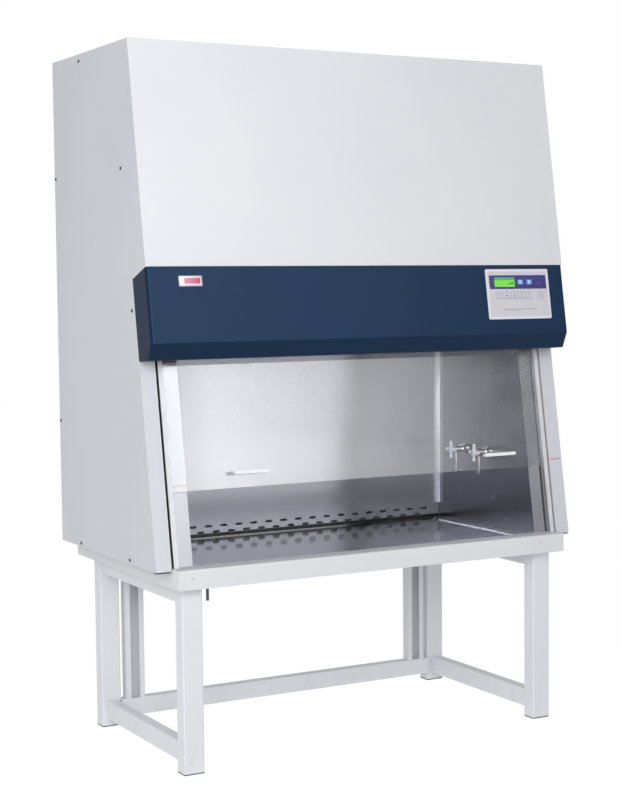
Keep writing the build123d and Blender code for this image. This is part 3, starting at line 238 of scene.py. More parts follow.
# %% Finishes
class Finish(Bench):
    """One material: its principled shader, and the nodes that feed it."""

    def __init__(self, name, **constants):
        self.material = bpy.data.materials.new(name)
        self.material.use_nodes = True
        super().__init__(self.material.node_tree)
        self.shader = self.tree.nodes["Principled BSDF"]
        for socket, value in constants.items():
            self.shader.inputs[socket.replace("_", " ")].default_value = value
        self.place = self.node("ShaderNodeTexCoord", output="Object")
        split = self.outputs(self.node("ShaderNodeSeparateXYZ", {0: self.place}))
        self.x, self.y, self.z = split["X"], split["Y"], split["Z"]

    def feed(self, **wires):
        """Links wires to the principled shader, and gives the material back."""
        for name, wire in wires.items():
            self.put(self.shader.inputs[name.replace("_", " ")], wire)
        return self.material


def rgb(red, green, blue):
    """A display colour in 0 to 255, as the linear colour that a shader works in."""
    parts = [part / 255 for part in (red, green, blue)]
    return (*[p / 12.92 if p <= 0.04045 else ((p + 0.055) / 1.055) ** 2.4 for p in parts], 1.0)


finishes = {}
print("a mid grey in linear light", [round(part, 3) for part in rgb(128, 128, 128)])


def dress(material, *nodes):
    """Gives CAD nodes a finish, and keeps count of them."""
    for name in nodes:
        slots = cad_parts[name].data.materials
        slots.clear()
        slots.append(material)
        finishes[name] = material.name
    print(material.name, "on", len(nodes), "nodes")


# %% [markdown]
# ## Powder coated steel
# The case, base and stand are folded sheet with a baked powder coat. Powder melts into a skin with a very
# fine orange peel, so the bump is small and even. A broad, faint mottling keeps large panels from looking
# like plain plastic, and a trace of scuffing and dust gathers on the lowest hand's width.

# %% Powder coats
ORANGE_PEEL = 0.00006
SCUFF_FOOT, SCUFF_HEIGHT = 0.001, 0.12


def powder_coat(name, colour, shade, gloss=0.36, scuffed=False):
    """A baked powder coat of a colour, with a second shade in its mottling and scuffs near the floor."""
    coat = Finish(name, Coat_Roughness=0.25, Specular_IOR_Level=0.45)
    mottle = coat.noise(3.0, 3.0)
    grain = coat.noise(900.0, 2.0)
    shading = (mottle - 0.3) * 0.9
    rough = gloss + mottle * 0.06 + grain * 0.05
    if scuffed:
        low = (1.0 - (coat.z - SCUFF_FOOT) / SCUFF_HEIGHT).clamp()
        scuff = low * (coat.noise(60.0, 4.0, (1.0, 1.0, 0.25)) > 0.6)
        shading, rough = shading + scuff * 0.5, rough + scuff * 0.2
    return coat.feed(
        Base_Color=coat.mix(shading, colour, shade), Roughness=rough,
        Normal=coat.bump(grain, ORANGE_PEEL, 0.5), Coat_Weight=mottle * 0.12,
    )


white_coat = powder_coat("white_powder_coat", rgb(219, 220, 224), rgb(207, 209, 215))
# The side panels take a darker copy of the white coat: painted shade for the sides that face away from the
# light.
shaded_side_coat = powder_coat("side_powder_coat", rgb(205, 208, 214), rgb(194, 197, 204))
base_coat = powder_coat("base_powder_coat", rgb(222, 223, 226), rgb(210, 211, 216))
stand_coat = powder_coat("stand_powder_coat", rgb(225, 227, 231), rgb(212, 214, 220), scuffed=True)
dress(white_coat, "upper_front_panel", "top_panel", "rear_panel")
dress(shaded_side_coat, "left_side_panel", "right_side_panel")
dress(base_coat, "base_pan")
dress(stand_coat, "stand_legs", "stand_beams", "rear_rails")

# %% [markdown]
# ## The blue housing
# The control housing is the one coloured part. Its coat is the same powder, but dark paint shows the
# room: a little coat weight gives it the soft sheen that runs down the folds, and fine metallic flecks
# lift the colour where light strikes it.

# %% Blue coat
blue = Finish("blue_powder_coat", Coat_Roughness=0.3, Specular_IOR_Level=0.12, Metallic=0.3)
fleck = blue.noise(1400.0, 2.0)
cloud = blue.noise(2.2, 2.0)
deep = blue.mix((cloud - 0.3) * 1.2, rgb(19, 44, 71), rgb(15, 36, 61))
navy = blue.mix((fleck > 0.66) * 0.12, deep, rgb(50, 82, 116))
blue_coat = blue.feed(
    Base_Color=navy, Roughness=0.34 + cloud * 0.08 + fleck * 0.04,
    Coat_Weight=cloud * 0.08, Normal=blue.bump(fleck, 0.00007, 0.5),
)
dress(blue_coat, "control_housing")

# %% [markdown]
# ## Stainless steel
# The chamber is satin stainless sheet. Its grain is a rolling direction: very long in one axis and very
# short in the others. Stretched noise gives that, in the bump and in the roughness, so highlights smear
# across the grain.

# %% Satin steel
GRAIN_DEPTH = 0.0000015
RIPPLE_STRETCH = (2.0, 16.0, 16.0)


def satin_steel(name, stretch, tone, rough, metallic=1.0, sag=0.0, darkened=None):
    """Satin stainless: grain along the axis of least stretch, slightly sagging, painted darker in one
    place.
    """
    steel = Finish(name, Metallic=metallic)
    grain = steel.noise(1.0, 3.0, stretch, 0.65)
    ripple = steel.noise(1.0, 1.0, RIPPLE_STRETCH)
    broad = steel.noise(5.0, 2.0)
    smear = steel.noise(14.0, 4.0) > 0.62
    light = (*[part * 1.1 for part in tone], 1.0)
    dark = (*[part * 0.88 for part in tone], 1.0)
    colour = steel.mix(grain * 0.6 + broad * 0.3, dark, light)
    if darkened:
        where, dark_tone = darkened
        colour = steel.mix(where(steel), colour, (*dark_tone, 1.0))
    roughness = rough + (grain - 0.5) * 0.12 + (broad - 0.5) * 0.06 + smear * 0.02
    height = grain * GRAIN_DEPTH + ripple * sag
    return steel.feed(Base_Color=colour, Roughness=roughness, Normal=steel.bump(height, 1.0))


print("grain", GRAIN_DEPTH * 1e6, "micrometres deep")

# %% [markdown]
# The sheets of the back run across, those of the sides run up. The side walls are the back's sheet in a
# darker tone, painted shade. The foot of the slotted strip and the rear wall of the tray's dish are painted
# nearly black, painted shade in the gap behind the tray. The left wall's front fold takes a darker, even
# tone. A mask of position says where.

# %% Stainless sheets
# The first of these tones is painted shade, nearly black; the second is a darker, even tone of the sheet.
PAINTED_SHADE, LEFT_FOLD_TONE = (0.05, 0.05, 0.055), (0.22, 0.223, 0.24)
STRIP_FOLD_TOP = 0.552
DISH_WALL_FRONT, DISH_WALL_BACK, DISH_TOP = 0.246, 0.257, 0.5438
RETURN_EDGE = 0.6125


def strip_foot_shade(steel):
    """The fold at the foot of the slotted strip, behind the tray, painted nearly black as shade."""
    return steel.z < STRIP_FOLD_TOP


def dish_wall_shade(steel):
    """The narrow rear wall of the tray's dish, painted nearly black as the shade where it meets the strip.
    """
    return (steel.y > DISH_WALL_FRONT) * (steel.y < DISH_WALL_BACK) * (steel.z < DISH_TOP)


def left_return(steel):
    """The fold at the front of the left side wall, which takes a darker, even tone."""
    return (steel.x < 0.0) * (steel.x > -RETURN_EDGE)


steel_across = satin_steel(
    "steel_grain_across", (4.0, 900.0, 900.0), (0.54, 0.55, 0.615), 0.2, 0.80,
    darkened=(strip_foot_shade, PAINTED_SHADE),
)
# The side walls are the same sheet as the back, given about half its tone: painted shade.
shaded_wall_steel = satin_steel(
    "steel_grain_up", (900.0, 500.0, 3.0), (0.275, 0.28, 0.31), 0.24, darkened=(left_return, LEFT_FOLD_TONE),
)
tray_steel = satin_steel(
    "steel_tray", (3.0, 700.0, 700.0), (0.44, 0.45, 0.49), 0.12, 0.86, sag=0.001,
    darkened=(dish_wall_shade, PAINTED_SHADE),
)
dress(steel_across, "chamber_back_wall", "rear_slot_strip", "downflow_diffuser")
dress(shaded_wall_steel, "left_inner_wall", "right_inner_wall")
dress(tray_steel, "work_tray", "front_intake_grille", "tray_ledges")

# %% [markdown]
# Behind the chamber the sheet is plain galvanised steel. Zinc freezes in crystals, so a Voronoi pattern
# gives each crystal its own brightness. Turned steel, aluminium extrusion, chrome and iron differ mostly in
# tone, roughness and the direction and depth of their tool marks.

# %% Other metals
def spangle(name):
    """Galvanised sheet, whose zinc crystals are a few millimetres across."""
    zinc = Finish(name, Metallic=1.0)
    crystal = zinc.node("ShaderNodeTexVoronoi", {"Vector": zinc.place, "Scale": 90.0}, output="Color")
    shine = zinc.node("ShaderNodeSeparateColor", {0: crystal})
    colour = zinc.mix(shine, (0.42, 0.43, 0.45, 1.0), (0.60, 0.61, 0.63, 1.0))
    relief = zinc.bump(shine, 0.00002, 0.4)
    return zinc.feed(Base_Color=colour, Roughness=0.38 + shine * 0.14, Normal=relief)


def turned_metal(name, tone, rough, stretch=(900.0, 900.0, 900.0), depth=0.00001, metallic=1.0):
    """A machined, drawn or plated metal with fine tool marks."""
    metal = Finish(name, Metallic=metallic)
    mark = metal.noise(1.0, 2.0, stretch)
    stain = metal.noise(40.0, 4.0)
    worn = (*[part * 0.8 for part in tone], 1.0)
    colour = metal.mix((stain - 0.45) * 1.6, (*tone, 1.0), worn)
    roughness = rough + mark * 0.08 + stain * 0.05
    return metal.feed(Base_Color=colour, Roughness=roughness, Normal=metal.bump(mark, depth, 0.4))


galvanised = spangle("galvanised_sheet")
satin_aluminium = turned_metal("satin_aluminium", (0.72, 0.73, 0.75), 0.26, (900.0, 900.0, 6.0))
track_metal = turned_metal("track_aluminium", (0.50, 0.51, 0.54), 0.42, (900.0, 900.0, 6.0), metallic=0.5)
plated = turned_metal("plated_brass", (0.80, 0.80, 0.82), 0.1)
bright_steel = turned_metal("turned_steel", (0.58, 0.58, 0.60), 0.25)
dress(galvanised, "counterweight_guides", "filter_rails", "plenum_walls", "blower_deck", "exhaust_duct")
dress(satin_aluminium, "supply_filter_frame", "exhaust_filter_frame")
dress(satin_aluminium, "blower_scroll", "blower_wheel", "blower_motor")
dress(track_metal, "sash_tracks", "sash_top_rail")
dress(plated, "service_cocks")
dark_screw = turned_metal("blackened_steel", (0.10, 0.10, 0.11), 0.4)
dress(bright_steel, "pulley_axles")
dress(dark_screw, "case_screws", "drain_spout")

# %% [markdown]
# ## Glass
# The sash is 6 mm laminated glass. Light that falls through it must reach the chamber, and shadow rays
# stop at a refracting shader, so those rays alone pass through a transparent one. A hint of green and a
# thin veil of dust, both stronger where it was wiped, keep it from vanishing.

# %% Sash glass
pane = Finish("laminated_glass", IOR=1.5, Transmission_Weight=1.0, Roughness=0.0)
wipe = pane.noise(6.0, 3.0, (1.0, 0.4, 2.5))
pane.feed(Base_Color=pane.mix(wipe * 0.5, (0.975, 0.985, 0.98, 1.0), (0.95, 0.965, 0.96, 1.0)))
shadow = pane.node("ShaderNodeLightPath", output="Is Shadow Ray")
clear = pane.node("ShaderNodeBsdfTransparent", {0: (0.93, 0.95, 0.945, 1.0)})
veil = pane.node("ShaderNodeBsdfDiffuse", {0: (0.9, 0.9, 0.95, 1.0)})
dusty = pane.node("ShaderNodeMixShader", {0: wipe * 0.07, 1: Wire(pane, pane.shader.outputs[0]), 2: veil})
through = pane.node("ShaderNodeMixShader", {0: shadow, 1: dusty, 2: clear})
pane.put(pane.tree.nodes["Material Output"].inputs["Surface"], through)
dress(pane.material, "sash_glass")

# %% [markdown]
# ## Plastics, rubber, paper and iron
# These show only at the edges or from behind, and each still has its own surface: moulded plastic has a
# spark-eroded texture, foam rubber has pores, filter paper has fibres, cast iron has sand grain.

# %% Moulded and soft finishes
def moulded(name, colour, rough=0.45, grain_size=1500.0, depth=0.00004, variation=0.12, **constants):
    """A moulded or pressed surface: a colour, a darker variation of it and an even grain."""
    plastic = Finish(name, **constants)
    grain = plastic.noise(grain_size, 2.0)
    cloud = plastic.noise(18.0, 3.0)
    darker = (*[part * (1 - variation) for part in colour[:3]], 1.0)
    tone = plastic.mix((cloud - 0.3) * 1.4 + (grain - 0.5) * 0.4, colour, darker)
    relief = plastic.bump(grain, depth, 0.6)
    return plastic.feed(Base_Color=tone, Roughness=rough + grain * 0.1, Normal=relief)


black_plastic = moulded("black_plastic", rgb(28, 29, 32))
foot_rubber = moulded("foot_rubber", rgb(40, 40, 42), 0.75, 700.0, 0.00015, 0.3)
foam = moulded("foam_gasket", rgb(44, 44, 46), 0.9, 450.0, 0.0003, 0.4)
paper = moulded("filter_paper", rgb(226, 225, 214), 0.85, 1200.0, 0.0001, 0.1)
iron = moulded("painted_iron", rgb(58, 60, 64), 0.55, 500.0, 0.0002, 0.25, Metallic=0.2)
board_green = moulded("board_laminate", rgb(24, 84, 44), 0.4, 900.0, 0.00004, 0.3)
ivory = moulded("ivory_plastic", rgb(232, 230, 222), 0.35)
handle_white = moulded("handle_plastic", rgb(238, 239, 241), 0.3, 1100.0, 0.00003, 0.05)
cock_plastic = moulded("cock_handle_plastic", rgb(226, 229, 235), 0.25, 1000.0, 0.00003, 0.1)
dress(black_plastic, "left_pulley", "right_pulley", "power_inlet")
dress(foot_rubber, "leg_caps")
dress(foam, "filter_gaskets")
dress(paper, "filter_packs")
dress(iron, "left_counterweight", "right_counterweight")
dress(board_green, "control_board")
dress(ivory, "lamp_holders")
dress(handle_white, "sash_handles")
dress(cock_plastic, "front_cock_handle", "rear_cock_handle")

# %% [markdown]
# ## The keypad's print
# The keypad is a printed film on a plate: a pale field, a navy band round the window, thin frames round
# the keys and small pictograms on them. The film is flat, so the print is a drawing in the plate's own two
# directions, made with masks: a box is where two distances are small, a ring where one distance is near a
# radius. No word or name is printed; a bare rule and a row of dots stand where some keypads have them.

# %% Drawing on the housing's face
PRINT_MID_X = 0.510
PRINT_MID_UP = up_face(1.207) + 0.0745


class Print:
    """Masks in millimetres over the housing's face, from a point on the keypad."""

    def __init__(self, finish, mid_x=PRINT_MID_X, mid_up=PRINT_MID_UP):
        self.finish = finish
        rise = (finish.z - CASE_BOTTOM) * cos(LEAN)
        lean = (finish.y - (CASE_FRONT - NOSE)) * sin(LEAN)
        self.u = (finish.x - mid_x) * 1000.0
        self.v = (rise + lean - mid_up) * 1000.0

    def box(self, u, v, width, height):
        """1 inside a box, 0 outside."""
        return (abs(self.u - u) < width / 2) * (abs(self.v - v) < height / 2)

    def frame(self, u, v, width, height, line):
        """The outline of a box."""
        return (self.box(u, v, width, height) - self.box(u, v, width - 2 * line, height - 2 * line)).clamp()

    def ring(self, u, v, radius, line):
        """A circle drawn with a pen of this width."""
        across, up = self.u - u, self.v - v
        away = self.finish.node("ShaderNodeMath", {0: across * across + up * up}, operation="SQRT")
        return abs(away - radius) < line / 2


def any_of(masks):
    """1 where any mask is 1."""
    total = masks[0]
    for mask in masks[1:]:
        total = total + mask
    return total.clamp()


print("print centre", PRINT_MID_X, round(PRINT_MID_UP, 4))

# %% [markdown]
# The film comes first. Every number below is in millimetres from its middle: columns and a row for the
# keys, and a box for the window. The printed rim, frames, rules, dots and window line follow each other.

# %% The keypad's film
KEY_COLUMNS = (-71.0, -44.3, -17.6, 9.1, 35.8, 79.0)
KEY_ROW = -5.5
WINDOW = (0.0, 35.5, 202.0, 38.0)
WINDOW_LINE = 3.0
FILM_SIZE, FIELD_SIZE = (226.0, 149.0), (212.0, 134.0)
KEY_FRAME, KEY_LINE, DOT_RISE, DOT = (24.0, 19.0), 0.8, 14.0, 0.8
LONG_RULE, SHORT_RULE = (-2.0, -45.0, 120.0, 1.6), (-22.0, -49.0, 60.0, 0.8)

film = Finish("keypad_film", Coat_Roughness=0.2, Specular_IOR_Level=0.5)
ink = Print(film)
weave = film.noise(1600.0, 2.0)
tint = film.mix((film.noise(9.0, 2.0) - 0.3) * 1.2, rgb(206, 203, 212), rgb(198, 194, 198))
rim = ink.box(0.0, 0.0, *FILM_SIZE) - ink.box(0.0, 0.0, *FIELD_SIZE)
pale = film.mix(rim.clamp(), tint, rgb(222, 221, 232))
key_frames = any_of([ink.frame(u, KEY_ROW, *KEY_FRAME, KEY_LINE) for u in KEY_COLUMNS])
lamps_above = any_of([ink.ring(u, KEY_ROW + DOT_RISE, DOT, 2 * DOT) for u in KEY_COLUMNS])
rule = ink.box(*LONG_RULE) + ink.box(*SHORT_RULE)
printed = film.mix(any_of([key_frames, rule]), pale, rgb(128, 128, 150))
printed = film.mix(lamps_above, printed, rgb(72, 120, 84))
window_frame = ink.frame(*WINDOW[:2], WINDOW[2] + WINDOW_LINE, WINDOW[3] + WINDOW_LINE, WINDOW_LINE)
printed = film.mix(window_frame, printed, rgb(40, 36, 120))
dress(film.feed(
    Base_Color=printed, Roughness=0.34 + weave * 0.08,
    Normal=film.bump(weave, 0.00003, 0.5), Coat_Weight=weave * 0.2,
), "keypad_plate")

# %% [markdown]
# Each key has a plain sign made of boxes and rings. A sign is a small function of the drawing, so that the
# six caps share one loop.

# %% Key caps
def pictogram(drawing, number, u, v):
    """A plain sign for each key: lamp, fan, ray, pair of bars, arrow and switch."""
    signs = (
        lambda: [drawing.ring(u, v + 1.5, 3.2, 0.9), drawing.box(u, v - 4.0, 3.2, 2.6)],
        lambda: [drawing.ring(u, v, 1.4, 1.2), drawing.box(u, v, 10.0, 1.3), drawing.box(u, v, 1.3, 10.0)],
        lambda: [drawing.ring(u, v, 4.2, 0.9), drawing.ring(u, v, 1.2, 1.2)],
        lambda: [drawing.box(u - 2.2, v, 1.6, 8.0), drawing.box(u + 2.2, v, 1.6, 8.0)],
        lambda: [
            drawing.box(u, v + 2.4, 6.4, 1.3), drawing.box(u, v, 1.3, 8.0),
            drawing.box(u, v - 3.6, 4.0, 1.0),
        ],
        lambda: [drawing.ring(u, v - 0.6, 3.8, 1.0), drawing.box(u, v + 3.0, 1.3, 4.0)],
    )
    return any_of(signs[number]())


for number, u in enumerate(KEY_COLUMNS):
    cap = Finish(f"key_cap_{number + 1}", Coat_Roughness=0.2)
    drawing = Print(cap)
    grain = cap.noise(1500.0, 2.0)
    field = cap.mix((cap.noise(30.0) - 0.3) * 0.8, rgb(208, 207, 216), rgb(190, 190, 204))
    colour = cap.mix(pictogram(drawing, number, u, KEY_ROW), field, rgb(84, 92, 116))
    dress(cap.feed(
        Base_Color=colour, Roughness=0.38 + grain * 0.1, Normal=cap.bump(grain, 0.00003, 0.5),
    ), f"key_{number + 1}")

# %% [markdown]
# The window is tinted, and behind it stand a screen of liquid crystal and two digit modules. They glow
# faintly. The screen has a grid of cells and a row of bars, and each digit has seven bars.

# %% Window and displays
SCREEN = (-48.0, 35.5)
SCREEN_SIZE, SCREEN_BAND = (74.0, 30.0), (76.0, 7.5)
DIGITS = ((9.0, 35.5), (41.0, 35.5))
SIGNAL_BARS, SIGNAL_PITCH = 5, 4.0

window = Finish("display_window", Coat_Roughness=0.1, Specular_IOR_Level=0.6)
band = Print(window)
dust = window.noise(700.0, 2.0)
navy_ink = window.mix((window.noise(12.0) - 0.3) * 1.2, rgb(38, 30, 118), rgb(28, 24, 92))
lights = any_of([band.box(70.0 + 7.0 * place, 32.0, 4.0, 1.4) for place in range(3)])
dress(window.feed(
    Base_Color=window.mix(lights, navy_ink, rgb(126, 132, 186)),
    Roughness=0.22 + dust * 0.1, Normal=window.bump(dust, 0.00002, 0.4),
), "display_window")

modules = Finish("display_modules", Emission_Strength=0.35)
lit = Print(modules)
on_screen = lit.box(*SCREEN, *SCREEN_SIZE)
top_band = lit.box(SCREEN[0], SCREEN[1] + 10.0, *SCREEN_BAND)
cells = (lit.u.wave(3.0) > 0.3) * (lit.v.wave(3.4) > 0.3)
liquid = modules.mix(top_band, rgb(104, 196, 52), rgb(64, 146, 84))
liquid = modules.mix(cells * 0.10, liquid, rgb(48, 120, 40))
bars_left, bars_low = SCREEN[0] + 14.0, SCREEN[1] - 6.0
bars = any_of([
    lit.box(bars_left + SIGNAL_PITCH * step, bars_low + step * 0.8, 2.4, 3.0 + step * 1.6)
    for step in range(SIGNAL_BARS)
])
liquid = modules.mix(bars, liquid, rgb(34, 92, 36))


def seven_bars(u, v):
    """The seven bars of one numeral, all lit, as a display shows in its lamp test."""
    across = [lit.box(u, v + rise, 4.4, 1.4) for rise in (-4.6, 0.0, 4.6)]
    upright = [lit.box(u + side * 2.9, v + rise, 1.4, 3.4) for side in (-1, 1) for rise in (-2.3, 2.3)]
    return any_of([*across, *upright])


numerals = any_of([seven_bars(u, v) for u, v in DIGITS])
faces = modules.mix(numerals, rgb(92, 128, 186), rgb(208, 232, 246))
glow = modules.mix(on_screen, faces, liquid)
dress(modules.feed(
    Base_Color=glow, Emission_Color=glow, Roughness=0.3 + modules.noise(900.0) * 0.1,
), "display_modules")

# %% [markdown]
# ## A helper for new pieces
# Each added piece is one bmesh. It is built near the origin with bmesh operators, moved into place by a
# matrix, and ends as an object that sits at the origin with its place in its mesh. The helper also says
# which body the piece rides on.

# %% Making a piece
def piece(name, mesh, body, material, smooth=35.0, replaces=()):
    """Turns a bmesh into a named piece of the cabinet that rides on a body."""
    bmesh.ops.remove_doubles(mesh, verts=mesh.verts, dist=1e-6)
    bmesh.ops.recalc_face_normals(mesh, faces=mesh.faces)
    data = bpy.data.meshes.new(name)
    mesh.to_mesh(data)
    mesh.free()
    data.materials.append(material)
    made = bpy.data.objects.new(name, data)
    bpy.context.scene.collection.objects.link(made)
    if smooth:
        data.shade_smooth()
        data.set_sharp_from_angle(angle=radians(smooth))
    if body:
        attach(made, body)
    if replaces:
        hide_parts(*replaces)
    print(name, "on", body, len(data.polygons), "faces")
    return made


print("pieces before the first added one:", len(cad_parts))

# %% [markdown]
# Two shapes make up most of the pieces. A spun profile is a solid of revolution, such as a screw head or a
# lamp cap. A slab is a box with rounded edges, placed by a matrix that may lean with the case.

# %% Two shapes
def spun(profile, at, axis, steps=32, into=None):
    """A solid of revolution: (radius, height) points, spun about an axis through a point."""
    mesh = into or bmesh.new()
    turn = Vector(axis).to_track_quat("Z", "Y").to_matrix().to_4x4()
    place = Matrix.Translation(at) @ turn
    corners = [mesh.verts.new(place @ Vector((radius, 0.0, height))) for radius, height in profile]
    edges = [mesh.edges.new(pair) for pair in zip(corners, corners[1:])]
    bmesh.ops.spin(
        mesh, geom=corners + edges, cent=at, axis=axis, angle=2 * pi, steps=steps,
        use_merge=True, use_duplicate=False,
    )
    return mesh


def slab(size, place, edge=0.0, into=None):
    """A box of three sizes, centred on a matrix, with its edges rounded."""
    mesh = into or bmesh.new()
    made = bmesh.ops.create_cube(mesh, size=1.0, matrix=place @ Matrix.Diagonal((*size, 1.0)))
    if edge:
        touched = list({line for corner in made["verts"] for line in corner.link_edges})
        bmesh.ops.bevel(
            mesh, geom=touched, offset=edge, offset_type="OFFSET", segments=2, affect="EDGES",
            profile=0.5, material=-1,
        )
    return mesh


def on_plane(plane, across, up, out=0.0):
    """A matrix on one of the leaning planes."""
    return plane @ Matrix.Translation((across, up, out))


print("helpers ready")

# %% [markdown]
# ## Marks on the front
# A small blank plate with a rose band sits at the left of the housing. Two fine red lines, one at each
# side of the opening, show the safe height of the sash: the left one is on the steel return behind the
# glass, the right one on the painted flange. The plate is a bevelled slab, the lines are thin films.

# %% Name plate and sash height marks
PLATE_X, PLATE_Z = -0.554, 1.327
PLATE_SIZE = (0.068, 0.028, 0.0014)
plate_paint = Finish("blank_plate", Coat_Roughness=0.15)
plate_print = Print(plate_paint, PLATE_X, up_face(PLATE_Z))
haze = plate_paint.noise(900.0, 2.0)
plate_field = plate_paint.mix((plate_paint.noise(60.0) - 0.3) * 0.9, rgb(226, 220, 228), rgb(208, 202, 214))
rose = plate_paint.mix(plate_print.box(5.0, 0.5, 46.0, 15.0), plate_field, rgb(206, 92, 124))
rose = plate_paint.mix(plate_print.frame(0.0, 0.0, 66.0, 26.0, 0.7), rose, rgb(150, 150, 164))
plate_material = plate_paint.feed(Base_Color=rose, Roughness=0.25 + haze * 0.1, Coat_Weight=haze * 0.4)
plate_place = on_plane(FACE, PLATE_X, up_face(PLATE_Z), PLATE_SIZE[2] / 2)
piece("blank_plate", slab(PLATE_SIZE, plate_place, 0.0004), "cabinet", plate_material)

red_ink = moulded("red_ink", rgb(214, 92, 98), 0.5, 1500.0, 0.00001, 0.15)
RETURN_DEPTH = 0.017
MARK_HEIGHT, MARK_FILM = 0.0022, 0.0003
LEFT_MARK = ("left_height_mark", -0.589, 0.048, 0.781, RETURN_DEPTH)
RIGHT_MARK = ("right_height_mark", 0.6505, 0.047, 0.780, 0.0)
for name, across, width, height, depth in (LEFT_MARK, RIGHT_MARK):
    mark_place = on_plane(SASH, across, up_face(height), MARK_FILM / 2 - depth)
    piece(name, slab((width, MARK_HEIGHT, MARK_FILM), mark_place), "cabinet", red_ink)

# %% [markdown]
# ## Folds and painted shade
# Each front flange of the case turns back in a hem that hides its raw edge. Under each flange a dark rubber
# slab stands in for the shade in the gap above the sill: painted shade. A thin dark rubber strip on the
# outer face of each track stands in for the shade in the recess beside it: painted shade. They are slabs,
# mirrored from side to side by a sign.

# %% Flange hems, and painted shade under the flanges and beside the tracks
FLANGE_INNER, FOLD_FOOT, FOLD_LENGTH = 0.636, 0.008, 0.60
HEM_DEPTH, HEM_SHEET = 0.018, 0.0015
TRACK_OUTER, TRACK_SHADE_SHEET, TRACK_SHADE_DEPTH, TRACK_SHADE_SETBACK = 0.627, 0.0012, 0.013, 0.004
FLANGE_SHADE_SIZE, FLANGE_SHADE_X, FLANGE_SHADE_BACK = (0.040, 0.020, 0.004), 0.658, 0.012
FOLD_EDGE, FLANGE_SHADE_EDGE = 0.0003, 0.0005

hems, flange_shade_pads, track_shade_strips = bmesh.new(), bmesh.new(), bmesh.new()
fold_middle = FOLD_LENGTH / 2 + FOLD_FOOT
track_shade_out = -TRACK_SHADE_SETBACK - TRACK_SHADE_DEPTH / 2
for side in (-1, 1):
    hem_place = on_plane(SASH, side * (FLANGE_INNER - HEM_SHEET / 2), fold_middle, -HEM_DEPTH / 2)
    slab((HEM_SHEET, FOLD_LENGTH, HEM_DEPTH), hem_place, FOLD_EDGE, hems)
    # A dark rubber slab under each flange: painted shade for the gap above the sill.
    flange_shade_place = Matrix.Translation((side * FLANGE_SHADE_X, CASE_FRONT + FLANGE_SHADE_BACK, CASE_BOTTOM - FLANGE_SHADE_SIZE[2] / 2))
    slab(FLANGE_SHADE_SIZE, flange_shade_place, FLANGE_SHADE_EDGE, flange_shade_pads)
    # A thin dark rubber strip on each track's outer face: painted shade for the recess beside the track.
    track_shade_place = on_plane(SASH, side * (TRACK_OUTER + TRACK_SHADE_SHEET / 2), fold_middle, track_shade_out)
    slab((TRACK_SHADE_SHEET, FOLD_LENGTH, TRACK_SHADE_DEPTH), track_shade_place, FOLD_EDGE, track_shade_strips)
piece("track_seals", track_shade_strips, "cabinet", foot_rubber)
piece("flange_hems", hems, "cabinet", white_coat)
piece("flange_pads", flange_shade_pads, "cabinet", foot_rubber)

# %% [markdown]
# ## Coves
# The two rear corners of the chamber each have a strip of sheet across them, at 45 degrees, so that no dirt
# stays in the corner. It is a thin slab turned about the vertical.

# %% Corner coves
COVE_LEG, COVE_SHEET, COVE_EDGE = 0.017, 0.0008, 0.0002
CORNER_X, CORNER_Y, COVE_LOW, COVE_HIGH = 0.613, 0.287, 0.590, 1.154
# The coves take a light, partly matt steel: real steel with a painted highlight of the bright strip down
# each corner.
cove_steel = turned_metal("cove_steel", (0.80, 0.81, 0.88), 0.3, (900.0, 900.0, 5.0), metallic=0.7)
cove_size = (COVE_LEG * 2 ** 0.5, COVE_SHEET, COVE_HIGH - COVE_LOW)
coves = bmesh.new()
for side in (-1, 1):
    middle = Vector((side * (CORNER_X - COVE_LEG / 2), CORNER_Y - COVE_LEG / 2, (COVE_LOW + COVE_HIGH) / 2))
    slab(cove_size, Matrix.Translation(middle) @ Matrix.Rotation(-side * pi / 4, 4, "Z"), COVE_EDGE, coves)
piece("corner_coves", coves, "cabinet", cove_steel)

# %% [markdown]
# ## Screws
# Pan head screws hold the sill, the rear panel and the exhaust guard. One profile is spun into a head with
# a hollow middle, which a plain dome would lack. Each is only a few dozen faces, because there are many of
# them.

# %% Screw heads
HEAD_RADIUS, HEAD_HEIGHT, HEAD_STEPS = 0.0042, 0.0022, 12
SMALL_RADIUS, FLAT_HEIGHT = 0.0035, 0.0018


def screw_head(mesh, at, axis, radius=HEAD_RADIUS, height=HEAD_HEIGHT):
    """A domed head with a hollow middle for the driver, standing on a surface."""
    profile = (
        (radius, 0.0), (radius, height * 0.45), (radius * 0.82, height * 0.85), (radius * 0.5, height),
        (radius * 0.3, height * 0.96), (radius * 0.22, height * 0.35), (0.0, height * 0.3),
    )
    return spun(profile, at, axis, HEAD_STEPS, mesh)


SILL_FRONT, SILL_ROW = -0.368, 0.541
sill_screws = bmesh.new()
for across in (-0.592, 0.545):
    screw_head(sill_screws, Vector((across, SILL_FRONT, SILL_ROW)), FRONTWARD, SMALL_RADIUS)
piece("sill_screws", sill_screws, "cabinet", bright_steel)

REAR, REAR_ROWS, REAR_COLUMNS = 0.368, (0.60, 1.04, 1.48, 1.93), (-0.66, -0.22, 0.22, 0.66)
rear_screws = bmesh.new()
for height in REAR_ROWS:
    for across in REAR_COLUMNS:
        screw_head(rear_screws, Vector((across, REAR, height)), -FRONTWARD)
piece("rear_panel_screws", rear_screws, "cabinet", bright_steel)

